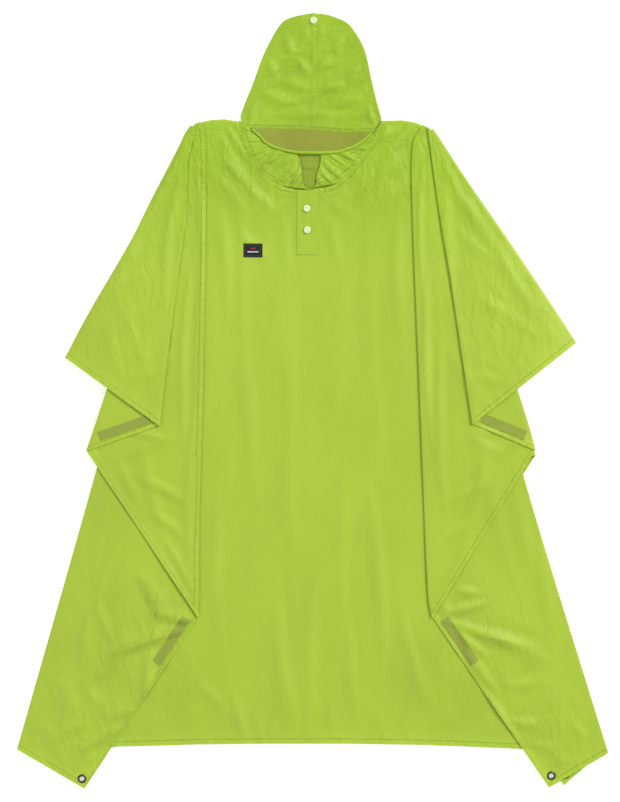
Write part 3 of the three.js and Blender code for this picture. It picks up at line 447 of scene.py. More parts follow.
def outside_by(outline, x, y):
    """How far points lie outside a closed outline; 0 inside."""
    inside = np.zeros(x.shape, bool)
    nearest = np.full(x.shape, 1e9)
    pts = np.asarray(outline, float)
    for (ax, ay), (bx, by) in zip(np.roll(pts, 1, axis=0), pts):
        crossing = (ay > y) != (by > y)
        with np.errstate(divide="ignore", invalid="ignore"):
            inside ^= crossing & (x < (bx - ax) * (y - ay) / (by - ay) + ax)
        dx, dy = bx - ax, by - ay
        t = np.clip(((x - ax) * dx + (y - ay) * dy) / (dx * dx + dy * dy + 1e-9), 0, 1)
        nearest = np.minimum(nearest, np.hypot(x - ax - t * dx, y - ay - t * dy))
    return np.where(inside, 0, nearest)


def fade(distance, near, far):
    t = np.clip((far - distance) / (far - near), 0, 1)
    return t * t * (3 - 2 * t)


def rectangle(x, top, bottom, width):
    return [[x - width / 2, bottom], [x + width / 2, bottom], [x + width / 2, top],
            [x - width / 2, top]]


def trim_outline(size):
    return rectangle(size["x"], size["top"], size["bottom"], size["width"])


def strip_outline(side_name, panel, level):
    """Corners of a tape along the side edge, measured back from a fold's tip."""
    s = panel[side_name]
    side = -1 if side_name == "left" else 1
    tip, far = ("fold4", s["fold3"][-1]) if level == "upper" else ("fold2", s["corner"])
    start, end = np.array(s[tip][-1], float), np.array(far, float)
    a, b = (start + (end - start) * share for share in STRIP_SHARES[level])
    d = (b - a) / np.hypot(*(b - a))
    n = np.array([-d[1] * side, d[0] * side])
    inset, width = STRIP["inset"], STRIP["width"]
    return [a + n * inset, b + n * inset, b + n * (inset + width), a + n * (inset + width)]


def wedge(s, layer):
    """Outline of a folded layer between its two fold lines."""
    first = s[f"fold{layer - 1}"]
    last = s["shoulder"] if layer == 5 else s[f"fold{layer}"]
    corner = [s["corner"]] if layer == 2 else []
    return [*first, *corner, *last[::-1]]


def centre_outline(panel, rulings):
    top = [r[:2] for r in rulings]
    hem = [r[2:] for r in rulings]
    return [*top, *panel["right"]["fold1"], *hem[::-1], *panel["left"]["fold1"][::-1]]


def stack():
    """Name, rise and outlines of all that lies in the pile, from the floor up."""
    out = []
    for kind, panel, rulings, word, tapes in (
            ("back", BACK, BACK_RULINGS, "mates", {2: "lower", 4: "upper"}),
            ("front", FRONT, FRONT_RULINGS, "strips", {3: "lower", 5: "upper"})):
        if kind == "front":
            out.append(("underlap", STRIP_RISE, [trim_outline(UNDERLAP)]))
        out.append((f"{kind}1", PITCH, [centre_outline(panel, rulings)]))
        for layer in range(2, 6):
            if layer in tapes:
                level = tapes[layer]
                shapes = [strip_outline(side, panel, level) for side in SIDES]
                out.append((f"{word}_{level}", STRIP_RISE, shapes))
            out.append((f"{kind}{layer}", PITCH, [wedge(panel[side], layer) for side in SIDES]))
    return out


class Pile:
    """Heights of every layer on a raster of the whole garment."""

    def __init__(self):
        self.x = np.arange(-600, 600 + RASTER, RASTER)
        self.y = np.arange(-760, 760 + RASTER, RASTER)
        gx, gy = np.meshgrid(self.x, self.y, indexing="ij")
        self.rest = {}
        self.order = []
        height = np.full(gx.shape, FLOOR_MIDDLE)
        for name, rise, shapes in stack():
            self.order.append(name)
            if name[:5] == "front":
                self.rest[name] = self.bridged(height, REACH[int(name[-1])])
            else:
                self.rest[name] = height.copy()
            distance = np.min([outside_by(shape, gx, gy) for shape in shapes], axis=0)
            height = height + rise * fade(distance, NEAR, FAR)
        for panel in ("front", "back"):
            for side in SIDES:
                eye = EYES[f"{panel}_{side}"]
                share = fade(np.hypot(gx - eye[0], gy - eye[1]), CORNER["near"], CORNER["far"])
                z = self.rest[f"{panel}2"]
                self.rest[f"{panel}2"] = np.maximum(z, z + (EYE_HEIGHT[panel] - z) * share)

    def bridged(self, height, reach):
        steps = int(round(reach / RASTER))
        out = height.copy()
        if not steps:
            return out
        for axis in (0, 1):
            for move in (-steps, steps):
                out = np.maximum(out, np.roll(height, move, axis=axis))
        return out

    def sample(self, field, p):
        u = np.clip((p[..., 0] - self.x[0]) / RASTER, 0, len(self.x) - 1.001)
        v = np.clip((p[..., 1] - self.y[0]) / RASTER, 0, len(self.y) - 1.001)
        i, j = u.astype(int), v.astype(int)
        a, b = u - i, v - j
        f = field
        return (f[i, j] * (1 - a) * (1 - b) + f[i + 1, j] * a * (1 - b)
                + f[i, j + 1] * (1 - a) * b + f[i + 1, j + 1] * a * b)

    def at(self, name, p):
        """Middle height of a layer at points, with the creases of it and of all beneath."""
        p = np.asarray(p, float)
        z = self.sample(self.rest[name], p)
        mine = self.order.index(name)
        for layer, creases in CREASES.items():
            if self.order.index(layer) <= mine:
                for crease in creases:
                    z = z + ridge(p, *crease)
        return z


def ridge(p, x0, y0, x1, y1, width, high):
    """A soft ridge along a line: bowed a little, highest in its first half, thin at its ends."""
    d = np.array([x1 - x0, y1 - y0], float)
    size = np.hypot(*d)
    d /= size
    s = ((p[..., 0] - x0) * d[0] + (p[..., 1] - y0) * d[1]) / size
    way = 1 if (x0 + y1) % 2 else -1
    bow = CREASE["bow"] * size * np.sin(math.pi * np.clip(s, 0, 1)) * way
    across = -(p[..., 0] - x0) * d[1] + (p[..., 1] - y0) * d[0] - bow
    ends = np.clip(np.sin(math.pi * np.clip(s, 0, 1) ** CREASE["lead"]), 0, 1)
    spread_by = CREASE["width"] * width * (0.5 + 0.5 * ends)
    body = np.exp(-((across / spread_by) ** 2))
    trough = np.exp(-((across / spread_by - CREASE["trough_at"]) ** 2))
    return CREASE["height"] * high * ends * (body - CREASE["trough"] * trough)


PILE = Pile()


def collar_height(p):
    p = np.asarray(p, float)
    q = np.stack([p[..., 0], np.minimum(p[..., 1], TOP_EDGE)], axis=-1)
    return np.maximum(FLOOR_MIDDLE + PITCH, PILE.sample(PILE.rest["front1"], q))


# Cloth grids.


def row_shares(line, count):
    """Shares of a line for the rows: close together at the neck end, a double band at the hem."""
    whole = max(length_of(line), SHORTEST_ROW)
    hem = HEM_WIDTH / whole
    close = np.arange(EDGE_ROWS) * EDGE_STEP / PANEL_RUN
    first = close[-1] + EDGE_STEP / PANEL_RUN
    even = np.linspace(0, 1, count - EDGE_ROWS)
    rest = first + (1 - hem - first) * np.interp(even, *ROW_SPREAD)
    return np.concatenate([close, rest, [1 - hem * HEM_BEND, 1]])


def inset_line(line, shares, radius, side):
    """A line's points, the same moved in by a bend's radius, and the outward directions."""
    p = along(line, shares)
    d = np.gradient(p, axis=0)
    d /= np.hypot(d[:, 0], d[:, 1])[:, None] + 1e-9
    out = np.stack([-d[:, 1] * side, d[:, 0] * side], axis=1)
    return p, p - out * radius[:, None], out


def turn(line, shares, side, low_name, high_name, count=5):
    """Columns of a fold's round bend, from the lower layer up to the higher one."""
    p = along(line, shares)
    low, high = PILE.at(low_name, p), PILE.at(high_name, p)
    radius = (high - low) / 2
    _, base, out = inset_line(line, shares, radius, side)
    columns = []
    for t in np.linspace(0, math.pi, count):
        flat = base + out * (radius * math.sin(t))[:, None]
        z = low + (high - low) * (1 - math.cos(t)) / 2
        columns.append(np.column_stack([flat, z]))
    return columns


def spread(a, b, name, step):
    """Columns of one layer between two rows of points, the ends left out."""
    wide = np.hypot(*(a[-1, :2] - b[-1, :2]))
    count = max(2, int(round(wide / step)))
    out = []
    for t in np.arange(1, count) / count:
        flat = a[:, :2] + (b[:, :2] - a[:, :2]) * t
        out.append(np.column_stack([flat, PILE.at(name, flat)]))
    return out


def shoulder_turn(line, shares, side, mine_name, other_name):
    """Columns of the bend along a shoulder, which stops at the seam with the other panel."""
    p = along(line, shares)
    mine, other = PILE.at(mine_name, p), PILE.at(other_name, p)
    radius = np.abs(mine - other) / 2
    _, base, out = inset_line(line, shares, radius, side)
    columns = []
    for t in (0, 0.35, 0.7, 1.0):
        angle = (math.pi / 2 - np.arcsin(np.clip(SEAM / 2 / radius, 0, 0.9))) * t
        flat = base + out * (radius * np.sin(angle))[:, None]
        z = (mine + other) / 2 + (mine - other) / 2 * np.cos(angle)
        columns.append(np.column_stack([flat, z]))
    return columns


def half_panel(panel, kind, side_name, count, step):
    """Columns of one folded side, from the centre's edge out to the shoulder seam."""
    s = {k: (v if k == "corner" else smooth_line(v)) for k, v in panel[side_name].items()}
    outer = 1 if side_name == "left" else -1
    n = {i: f"{kind}{i}" for i in range(1, 6)}
    other = "back5" if kind == "front" else "front5"
    bends = []
    for i in range(1, 5):
        line = s[f"fold{i}"]
        way = -outer if i % 2 else outer
        bends.append(turn(line, row_shares(line, count), way, n[i], n[i + 1]))
    seam = row_shares(s["shoulder"], count)
    bends.append(shoulder_turn(s["shoulder"], seam, -outer, n[5], other))
    middle = [(s["fold1"][0] + s["fold2"][0]) / 2, np.array(s["corner"], float)]
    flat = along(middle, row_shares(middle, count))
    corner = np.column_stack([flat, PILE.at(n[2], flat)])
    wide = {i: step * share for i, share in LAYER_STEPS.items()}
    columns = [*bends[0], *spread(bends[0][-1], corner, n[2], wide[2]), corner,
               *spread(corner, bends[1][0], n[2], wide[2]), *bends[1]]
    for i in range(3, 6):
        columns += [*spread(bends[i - 2][-1], bends[i - 1][0], n[i], wide[i]), *bends[i - 1]]
    return columns


def panel_grid(panel, rulings, kind, count, step):
    """One panel's columns, left shoulder line to right one, and which of them are the centre's."""
    left = half_panel(panel, kind, "left", count, step)[::-1]
    right = half_panel(panel, kind, "right", count, step)
    name = f"{kind}1"
    neck, top = NECKS[kind], TOPS[kind]
    other = "back1" if kind == "front" else "front1"
    rulings = np.array(rulings, float)
    lines, tags = [], []
    first = np.concatenate([left[-1][0, :2], left[-1][-1, :2]])
    last = np.concatenate([right[0][0, :2], right[0][-1, :2]])
    table = [first, *rulings, last]
    for i in range(len(table) - 1):
        a, b = table[i], table[i + 1]
        wide = max(abs(b[2] - a[2]), abs(b[0] - a[0]), 0.6 * abs(b[1] - a[1]))
        hidden = min(abs(a[2]), abs(b[2])) >= COVERED_FROM
        parts = max(1, int(round(wide / (step * LAYER_STEPS["hidden" if hidden else 1]))))
        for k in range(1 if i == 0 else 0, parts):
            lines.append(a + (b - a) * k / parts)
            tags.append(i - 1 + k / parts)
    centre, bends = [], []
    shares = row_shares([[0, 480], [0, -602]], count)
    for line, tag in zip(lines, tags):
        flat = along([line[:2], line[2:]], shares)
        z = PILE.at(name, flat)
        column = np.column_stack([flat, z])
        bend = None
        if top[0] <= tag <= top[1] and not neck[0] < tag < neck[1]:
            mine = PILE.at(name, flat[:1])[0]
            theirs = PILE.at(other, flat[:1])[0]
            radius = abs(mine - theirs) / 2
            full = math.pi / 2 - math.asin(min(0.9, SEAM / 2 / radius))
            if column[0, 1] - radius < column[1, 1]:
                column[1, 1] = column[0, 1] - radius - 1.5
            column[0, 1] -= radius
            bend = []
            for t in (1.0, 0.7, 0.35):
                bend.append([flat[0, 0], column[0, 1] + radius * math.sin(full * t),
                             (mine + theirs) / 2 + (mine - theirs) / 2 * math.cos(full * t)])
        centre.append(column)
        bends.append(bend)
    blank = np.full((3, 3), np.nan)
    columns = [np.vstack([blank, c]) for c in left]
    columns += [np.vstack([blank if b is None else np.array(b), c]) for b, c in zip(bends, centre)]
    columns += [np.vstack([blank, c]) for c in right]
    return np.array(columns), (len(left), np.array(tags), len(left) + len(centre))


def wall(grid, keep, half):
    """Vertices and faces of a closed shell on a grid of middle points, columns by rows."""
    ok = ~np.isnan(grid[..., 0])
    quad = ok[:-1, :-1] & ok[1:, :-1] & ok[:-1, 1:] & ok[1:, 1:] & keep
    filled = np.nan_to_num(grid)
    a, b = filled[:-1, :-1], filled[1:, :-1]
    c, d = filled[1:, 1:], filled[:-1, 1:]
    n = np.cross(c - a, d - b)
    n /= np.linalg.norm(n, axis=-1, keepdims=True) + 1e-12
    n[~quad] = 0
    normal = np.zeros_like(filled)
    normal[:-1, :-1] += n
    normal[1:, :-1] += n
    normal[1:, 1:] += n
    normal[:-1, 1:] += n
    normal /= np.linalg.norm(normal, axis=-1, keepdims=True) + 1e-12
    top = filled + normal * half[..., None]
    low = filled - normal * half[..., None]
    wide, high = ok.shape
    ids = np.arange(wide * high).reshape(wide, high)
    verts = np.concatenate([top.reshape(-1, 3), low.reshape(-1, 3)])
    under = wide * high
    qa, qb, qc, qd = ids[:-1, :-1], ids[1:, :-1], ids[1:, 1:], ids[:-1, 1:]
    faces = [np.stack([qa[quad], qb[quad], qc[quad], qd[quad]], axis=1),
             np.stack([qd[quad], qc[quad], qb[quad], qa[quad]], axis=1) + under]
    padded = np.pad(quad, 1)
    sides = []
    for (i, j), p, q in (((0, -1), qa, qb), ((1, 0), qb, qc), ((0, 1), qc, qd),
                         ((-1, 0), qd, qa)):
        open_edge = quad & ~padded[1 + i: wide + i, 1 + j: high + j]
        p, q = p[open_edge], q[open_edge]
        sides.append(np.stack([q, p, p + under, q + under], axis=1))
    faces = np.concatenate([*faces, *sides])
    used = np.unique(faces)
    renumber = np.full(len(verts), -1)
    renumber[used] = np.arange(len(used))
    return verts[used], renumber[faces], top, low, used % under


def sheet_wall(grid, thick, keep=None):
    """A closed shell of one thickness on a grid, with every face unless some are left out."""
    if keep is None:
        keep = np.ones((grid.shape[0] - 1, grid.shape[1] - 1), bool)
    return wall(grid, keep, np.full(grid.shape[:2], thick / 2))


def even_fields(source, share):
    """Attributes of a trim: no sewn edge near, and crumpled alike all over."""
    return {"edge": np.full(len(source), CLEAR_OF_EDGE), "crumpled": np.full(len(source), share)}


def mesh_object(name, verts, faces, material, smooth_angle=SMOOTH_ANGLE, fields=None):
    """A new object from shell data in millimetres, welded, faces outwards."""
    mesh = bpy.data.meshes.new(name)
    faces = faces if isinstance(faces, list) else faces.tolist()
    mesh.from_pydata((np.asarray(verts) * MM).tolist(), [], faces)
    for label, values in (fields or {}).items():
        layer = mesh.attributes.new(label, "FLOAT", "POINT")
        layer.data.foreach_set("value", np.ascontiguousarray(values, np.float32))
    bm = bmesh.new()
    bm.from_mesh(mesh)
    bmesh.ops.remove_doubles(bm, verts=bm.verts, dist=1e-6)
    bmesh.ops.dissolve_degenerate(bm, edges=bm.edges, dist=1e-7)
    bmesh.ops.recalc_face_normals(bm, faces=bm.faces)
    bm.to_mesh(mesh)
    bm.free()
    mesh.update()
    one = bpy.data.objects.new(name, mesh)
    bpy.context.scene.collection.objects.link(one)
    mesh.materials.append(material)
    activate(one)
    bpy.ops.object.shade_smooth_by_angle(angle=math.radians(smooth_angle))
    deselect()
    return one


def finish_piece(one, replaces=()):
    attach(one, ROOT)
    if replaces:
        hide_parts(*replaces)
    return one


# Materials.


def new_group(name, inputs, outputs):
    group = bpy.data.node_groups.new(name, "ShaderNodeTree")
    for label, kind, default in inputs:
        socket = group.interface.new_socket(label, in_out="INPUT", socket_type=kind)
        socket.default_value = default
    for label, kind in outputs:
        group.interface.new_socket(label, in_out="OUTPUT", socket_type=kind)
    return group, group.nodes.new("NodeGroupInput"), group.nodes.new("NodeGroupOutput")


def noise(tree, place, scale, detail=2.0, rough=0.5, distortion=0.0):
    one = tree.nodes.new("ShaderNodeTexNoise")
    one.inputs["Scale"].default_value = scale
    one.inputs["Detail"].default_value = detail
    one.inputs["Roughness"].default_value = rough
    one.inputs["Distortion"].default_value = distortion
    tree.links.new(place, one.inputs["Vector"])
    return one.outputs["Fac"]


def calculate(tree, kind, a, b):
    one = tree.nodes.new("ShaderNodeMath")
    one.operation = kind
    for socket, value in zip(one.inputs, (a, b)):
        if isinstance(value, (int, float)):
            socket.default_value = value
        else:
            tree.links.new(value, socket)
    return one.outputs[0]


def mapped(tree, place, angle, scale=(1.0, 1.0, 1.0)):
    """A place turned about the upright axis and stretched."""
    one = tree.nodes.new("ShaderNodeMapping")
    one.inputs["Rotation"].default_value = (0.0, 0.0, angle)
    one.inputs["Scale"].default_value = scale
    tree.links.new(place, one.inputs["Vector"])
    return one.outputs[0]


def map_range(tree, value, target, source=(0.0, 1.0), smooth=False):
    """A value moved from a source range to a target range."""
    one = tree.nodes.new("ShaderNodeMapRange")
    if smooth:
        one.interpolation_type = "SMOOTHSTEP"
    for label, end in zip(("From Min", "From Max", "To Min", "To Max"), (*source, *target)):
        one.inputs[label].default_value = end
    tree.links.new(value, one.inputs["Value"])
    return one.outputs[0]


def between(tree, value, low, high, stops=(0.0, 1.0)):
    """A colour between two tones, by a value that runs from one stop to the other."""
    one = tree.nodes.new("ShaderNodeValToRGB")
    for element, stop, colour in zip(one.color_ramp.elements, stops, (low, high)):
        element.position = stop
        element.color = (*colour, 1)
    tree.links.new(value, one.inputs["Fac"])
    return one.outputs["Color"]


def tinted(tree, colour, share, tint):
    """A colour multiplied by a tint, by a share from 0 to 1."""
    one = tree.nodes.new("ShaderNodeMix")
    one.data_type = "RGBA"
    one.blend_type = "MULTIPLY"
    one.inputs[7].default_value = tint
    tree.links.new(colour, one.inputs[6])
    tree.links.new(share, one.inputs[0])
    return one.outputs[2]


def raise_surface(tree, height, shader):
    """Bumps a shader's surface by a height in metres."""
    one = tree.nodes.new("ShaderNodeBump")
    one.inputs["Strength"].default_value = 1.0
    one.inputs["Distance"].default_value = 1.0
    tree.links.new(height, one.inputs["Height"])
    tree.links.new(one.outputs["Normal"], shader.inputs["Normal"])


def attribute(tree, name):
    one = tree.nodes.new("ShaderNodeAttribute")
    one.attribute_name = name
    return one.outputs["Fac"]


def crumple_group():
    """Fine crumples and plain weave of coated cloth: a height, a mask of painted light and shade
    that follows the broad waves, and a mask of gloss.
    """
    group, start, end = new_group(
        "Crumpled cloth",
        [("Vector", "NodeSocketVector", (0, 0, 0)), ("Crumple", "NodeSocketFloat", 1.0)],
        [("Height", "NodeSocketFloat"), ("Wave shading", "NodeSocketFloat"), ("Gloss", "NodeSocketFloat")],
    )
    place = start.outputs["Vector"]
    lean = [mapped(group, place, angle, (1.0, 0.4, 1.0)) for angle in (0.55, -0.75)]
    broad = noise(group, lean[0], 14.0, distortion=0.2)
    folds = []
    for vector, scale in zip(lean, (30.0, 52.0)):
        creased = noise(group, vector, scale, distortion=0.35)
        folds.append(calculate(group, "ABSOLUTE", calculate(group, "SUBTRACT", creased, 0.5), 0.0))
    fine = noise(group, place, 120.0, distortion=0.3)
    weave = []
    for axis in ("X", "Y"):
        wave = group.nodes.new("ShaderNodeTexWave")
        wave.wave_type = "BANDS"
        wave.bands_direction = axis
        wave.inputs["Scale"].default_value = 420.0
        wave.inputs["Distortion"].default_value = 0.0
        group.links.new(place, wave.inputs["Vector"])
        weave.append(wave.outputs["Fac"])
    woven = calculate(group, "MULTIPLY", calculate(group, "ADD", *weave), RELIEF["weave"])
    soft = calculate(group, "MULTIPLY", broad, RELIEF["broad"])
    sharp = calculate(group, "MULTIPLY", calculate(group, "ADD", *folds), RELIEF["folds"])
    small = calculate(group, "MULTIPLY", fine, RELIEF["fine"])
    crumple = calculate(group, "ADD", calculate(group, "ADD", soft, sharp), small)
    crumple = calculate(group, "MULTIPLY", crumple, start.outputs["Crumple"])
    group.links.new(calculate(group, "ADD", crumple, woven), end.inputs["Height"])
    # The broad waves' own noise paints shade in their hollows and light on their crests.
    group.links.new(broad, end.inputs["Wave shading"])
    group.links.new(fine, end.inputs["Gloss"])
    return group


def sewn_group():
    """The sewn band along an edge: a stitch line's groove with a mask for its painted shade, and
    puckers beside it.
    """
    group, start, end = new_group(
        "Sewn edge",
        [("Vector", "NodeSocketVector", (0, 0, 0)),
         ("Distance", "NodeSocketFloat", CLEAR_OF_EDGE)],
        [("Line", "NodeSocketFloat"), ("Height", "NodeSocketFloat")],
    )
    distance = start.outputs["Distance"]
    away = calculate(group, "SUBTRACT", distance, HEM_WIDTH - 0.8)
    away = calculate(group, "ABSOLUTE", away, 0.0)
    line = map_range(group, away, (1.0, 0.0), (0.2, 1.5), True)
    near = map_range(group, distance, (1.0, 0.0), (5.0, 26.0), True)
    pucker = noise(group, start.outputs["Vector"], 95.0, 1.0, distortion=0.4)
    wavy = calculate(group, "MULTIPLY", pucker, RELIEF["pucker"])
    wavy = calculate(group, "MULTIPLY", wavy, near)
    groove = calculate(group, "MULTIPLY", line, RELIEF["groove"])
    group.links.new(line, end.inputs["Line"])
    group.links.new(calculate(group, "ADD", wavy, groove), end.inputs["Height"])
    return group


GROUPS = {}
GROUP_MAKERS = {"crumple": crumple_group, "sewn": sewn_group}


def placed_group(tree, key, **inputs):
    """One of the shared groups, built once, with its inputs linked; gives its outputs."""
    if key not in GROUPS:
        GROUPS[key] = GROUP_MAKERS[key]()
    one = tree.nodes.new("ShaderNodeGroup")
    one.node_tree = GROUPS[key]
    for label, value in inputs.items():
        tree.links.new(value, one.inputs[label])
    return one.outputs


def new_material(name):
    """A material with its node tree, its shader and the object coordinates."""
    material = bpy.data.materials.new(name)
    material.use_nodes = True
    tree = material.node_tree
    place = tree.nodes.new("ShaderNodeTexCoord").outputs["Object"]
    return material, tree, tree.nodes["Principled BSDF"], place


def cloth_material(name, tone, shade, rough, crumple, sheen, lean):
    """A thin coated cloth: two near tones painted as light and shade on the broad waves, crumpled
    and woven bump, painted shade in the stitch grooves, sewn edges, a soft sheen.
    """
    material, tree, shader, place = new_material(name)
    strength = map_range(tree, attribute(tree, "crumpled"), (0.1 * crumple, crumple))
    cloth = placed_group(tree, "crumple", Vector=mapped(tree, place, lean), Crumple=strength)
    sewn = placed_group(tree, "sewn", Vector=place, Distance=attribute(tree, "edge"))
    # Painted shade in the hollows of the broad waves, painted light on their crests.
    colour = between(tree, cloth["Wave shading"], shade, tone, (0.32, 0.68))
    # Painted shade darkens the cloth along the stitch groove.
    colour = tinted(tree, colour, sewn["Line"], GROOVE_SHADE)
    # The cloth is tinted darker and greener high on the garment, over the shoulders and hood.
    split = tree.nodes.new("ShaderNodeSeparateXYZ")
    tree.links.new(place, split.inputs["Vector"])
    high_up = map_range(tree, split.outputs["Y"], (0.0, 1.0), (HIGH_FROM, HIGH_TO), True)
    colour = tinted(tree, colour, high_up, HIGH_TINT)
    tree.links.new(colour, shader.inputs["Base Color"])
    gloss = map_range(tree, cloth["Gloss"], (rough - 0.06, rough + 0.08))
    tree.links.new(gloss, shader.inputs["Roughness"])
    raise_surface(tree, calculate(tree, "ADD", cloth["Height"], sewn["Height"]), shader)
    shader.inputs["Sheen Weight"].default_value = sheen
    shader.inputs["Sheen Roughness"].default_value = 0.5
    shader.inputs["Specular IOR Level"].default_value = 0.35
    shader.inputs["Subsurface Weight"].default_value = 0.14
    shader.inputs["Subsurface Radius"].default_value = (0.8, 1.0, 0.15)
    shader.inputs["Subsurface Scale"].default_value = 0.006
    return material


def grained_material(name, colour, rough, metallic, scale, depth, tones):
    """A moulded, plated or napped finish with its own fine grain."""
    material, tree, shader, place = new_material(name)
    grain = noise(tree, place, scale, 3.0, 0.6)
    low = [c * (1 - tones) for c in colour]
    high = [min(1, c * (1 + tones)) for c in colour]
    tree.links.new(between(tree, grain, low, high), shader.inputs["Base Color"])
    gloss = map_range(tree, grain, (max(0.05, rough - 0.08), min(1.0, rough + 0.08)))
    tree.links.new(gloss, shader.inputs["Roughness"])
    raise_surface(tree, calculate(tree, "MULTIPLY", grain, depth), shader)
    shader.inputs["Metallic"].default_value = metallic
    return material


MATERIALS = {}


def tone_of(value):
    """A colour as it is given, or the cloth's colour scaled by a number."""
    if isinstance(value, tuple):
        return value
    return tuple(min(1.0, c * value) for c in bpy.context.scene.poncho.cloth_colour)


def finish(name):
    """The named finish, made once."""
    if name not in MATERIALS:
        if name in CLOTHS:
            label, tone, shade, rough, *rest = CLOTHS[name]
            rough = rough or bpy.context.scene.poncho.roughness
            made = cloth_material(label, tone_of(tone), tone_of(shade), rough, *rest)
        else:
            label, tone, *rest = GRAINED[name]
            made = grained_material(label, tone_of(tone), *rest)
        MATERIALS[name] = made
    return MATERIALS[name]


# Cloth pieces.

GRIDS = {}


def cut_eyes(one, panel):
    """Drills the corner holes that the eyelets sit in."""
    for side in SIDES:
        x, y = EYES[f"{panel}_{side}"]
        deselect()
        bpy.ops.mesh.primitive_cylinder_add(
            vertices=24, radius=RING["drill"] * MM, depth=6 * MM,
            location=(x * MM, y * MM, EYE_HEIGHT[panel] * MM),
        )
        drill = bpy.context.active_object
        activate(one)
        cut = one.modifiers.new("hole", "BOOLEAN")
        cut.operation = "DIFFERENCE"
        cut.solver = "EXACT"
        cut.object = drill
        bpy.ops.object.modifier_apply(modifier=cut.name)
        bpy.data.objects.remove(drill, do_unlink=True)
    deselect()


def run_lengths(grid):
    """Length along every column, from its first row, missing rows counted as nothing."""
    steps = np.nan_to_num(np.linalg.norm(np.diff(grid, axis=1), axis=2))
    return np.concatenate([np.zeros((grid.shape[0], 1)), np.cumsum(steps, axis=1)], axis=1)


def edge_distance(grid, marks, kind):
    """Distance of every point from the nearest sewn edge: hem, neck, and the left pleat's band."""
    run = run_lengths(grid)
    far = run[:, -1:] - run
    start, tags, end = marks
    neck = NECKS[kind]
    for k, tag in enumerate(tags):
        if neck[0] <= tag <= neck[1]:
            far[start + k] = np.minimum(far[start + k], run[start + k] + 1.0)
    if kind == "front":
        fold = smooth_line(FRONT["left"]["fold2"])
        middle = grid[..., 2]
        flat = np.nan_to_num(grid[..., :2])
        gap = np.full(middle.shape, 1e3)
        for a, b in zip(fold[:-1], fold[1:]):
            d = b - a
            t = np.clip(((flat - a) @ d) / (d @ d + 1e-9), 0, 1)
            gap = np.minimum(gap, np.linalg.norm(flat - a - t[..., None] * d, axis=-1))
        raised = middle > PILE.sample(PILE.rest["front3"], flat) - 0.5
        far = np.where(raised & (gap < PLEAT_REACH), np.minimum(far, gap), far)
    return np.clip(far, 0, CLEAR_OF_EDGE)


def crumpled(grid):
    """How crumpled the cloth is at every point, 0 to 1."""
    flat = np.nan_to_num(grid[..., :2])
    out = np.zeros(flat.shape[:2])
    for x, y, reach, share in CRUMPLED:
        away = np.hypot(flat[..., 0] - x, flat[..., 1] - y) / reach
        out = np.maximum(out, share * fade(away, 0.2, 1.0))
    return out


def paint_inside_shade(one, x_range, y_range):
    """Gives the upward faces in a window a darker olive finish, which is painted shade."""
    one.data.materials.append(finish("shaded_inside"))
    for face in one.data.polygons:
        x, y = face.center.x / MM, face.center.y / MM
        inside = x_range[0] < x < x_range[1] and y_range[0] < y < y_range[1]
        if inside and face.normal.z > 0.3:
            face.material_index = 1


def panel_piece(kind, panel, rulings):
    """One whole panel with its neck slit, corner holes and cloth finish."""
    step = bpy.context.scene.poncho.panel_step / MM
    if kind == "back":
        step *= BACK_STEP
    grid, marks = panel_grid(panel, rulings, kind, int(ROW_RUN / step) + EDGE_ROWS, step)
    wide, high = grid.shape[:2]
    keep = np.ones((wide - 1, high - 1), bool)
    if kind == "front":
        start, tags, _ = marks
        for k, tag in enumerate(tags):
            column = start + k
            if SLIT["from"] <= tag < SLIT["to"] - 1e-6:
                centre_y = (grid[column, :-1, 1] + grid[column, 1:, 1]) / 2
                keep[column] = ~(centre_y > SLIT["bottom"])
    half = np.full((wide, high), SHELL / 2)
    half[:, -2:] = HEM_SHELL / 2
    verts, faces, top, low, source = wall(grid, keep, half)
    GRIDS[kind] = {"top": top, "low": low, "marks": marks}
    fields = {"edge": edge_distance(grid, marks, kind).reshape(-1)[source],
              "crumpled": crumpled(grid).reshape(-1)[source]}
    one = mesh_object(f"{kind}_cloth", verts, faces, finish("cloth"), fields=fields)
    cut_eyes(one, kind)
    if kind == "back":
        paint_inside_shade(one, *NECK_WINDOW)
    finish_piece(one, [f"{kind}_panel"])
    return one


def neckline(rulings, kind, side_name):
    """One half of a panel's neck edge, from the centre out, a seam's gap away from it."""
    neck, centre = NECKS[kind], CENTRES[kind][side_name]
    left = rulings[neck[0]:centre + 1][::-1]
    rows = left if side_name == "left" else rulings[centre:neck[1] + 1]
    p = np.array([r[:2] for r in rows], float)
    side = -1 if side_name == "left" else 1
    d = np.gradient(p, axis=0)
    d /= np.hypot(d[:, 0], d[:, 1])[:, None]
    out = p + np.stack([-d[:, 1] * side, d[:, 0] * side], axis=1) * 0.12
    out[0, 0] = 0.02 * side
    return out


def hood_ridges(p):
    """Creases of the hood, and the felled seam down its middle."""
    z = 0.7 * np.exp(-((p[..., 0] / 3.2) ** 4))
    for crease in HOOD_CREASES:
        z = z + ridge(p, *crease)
    return z


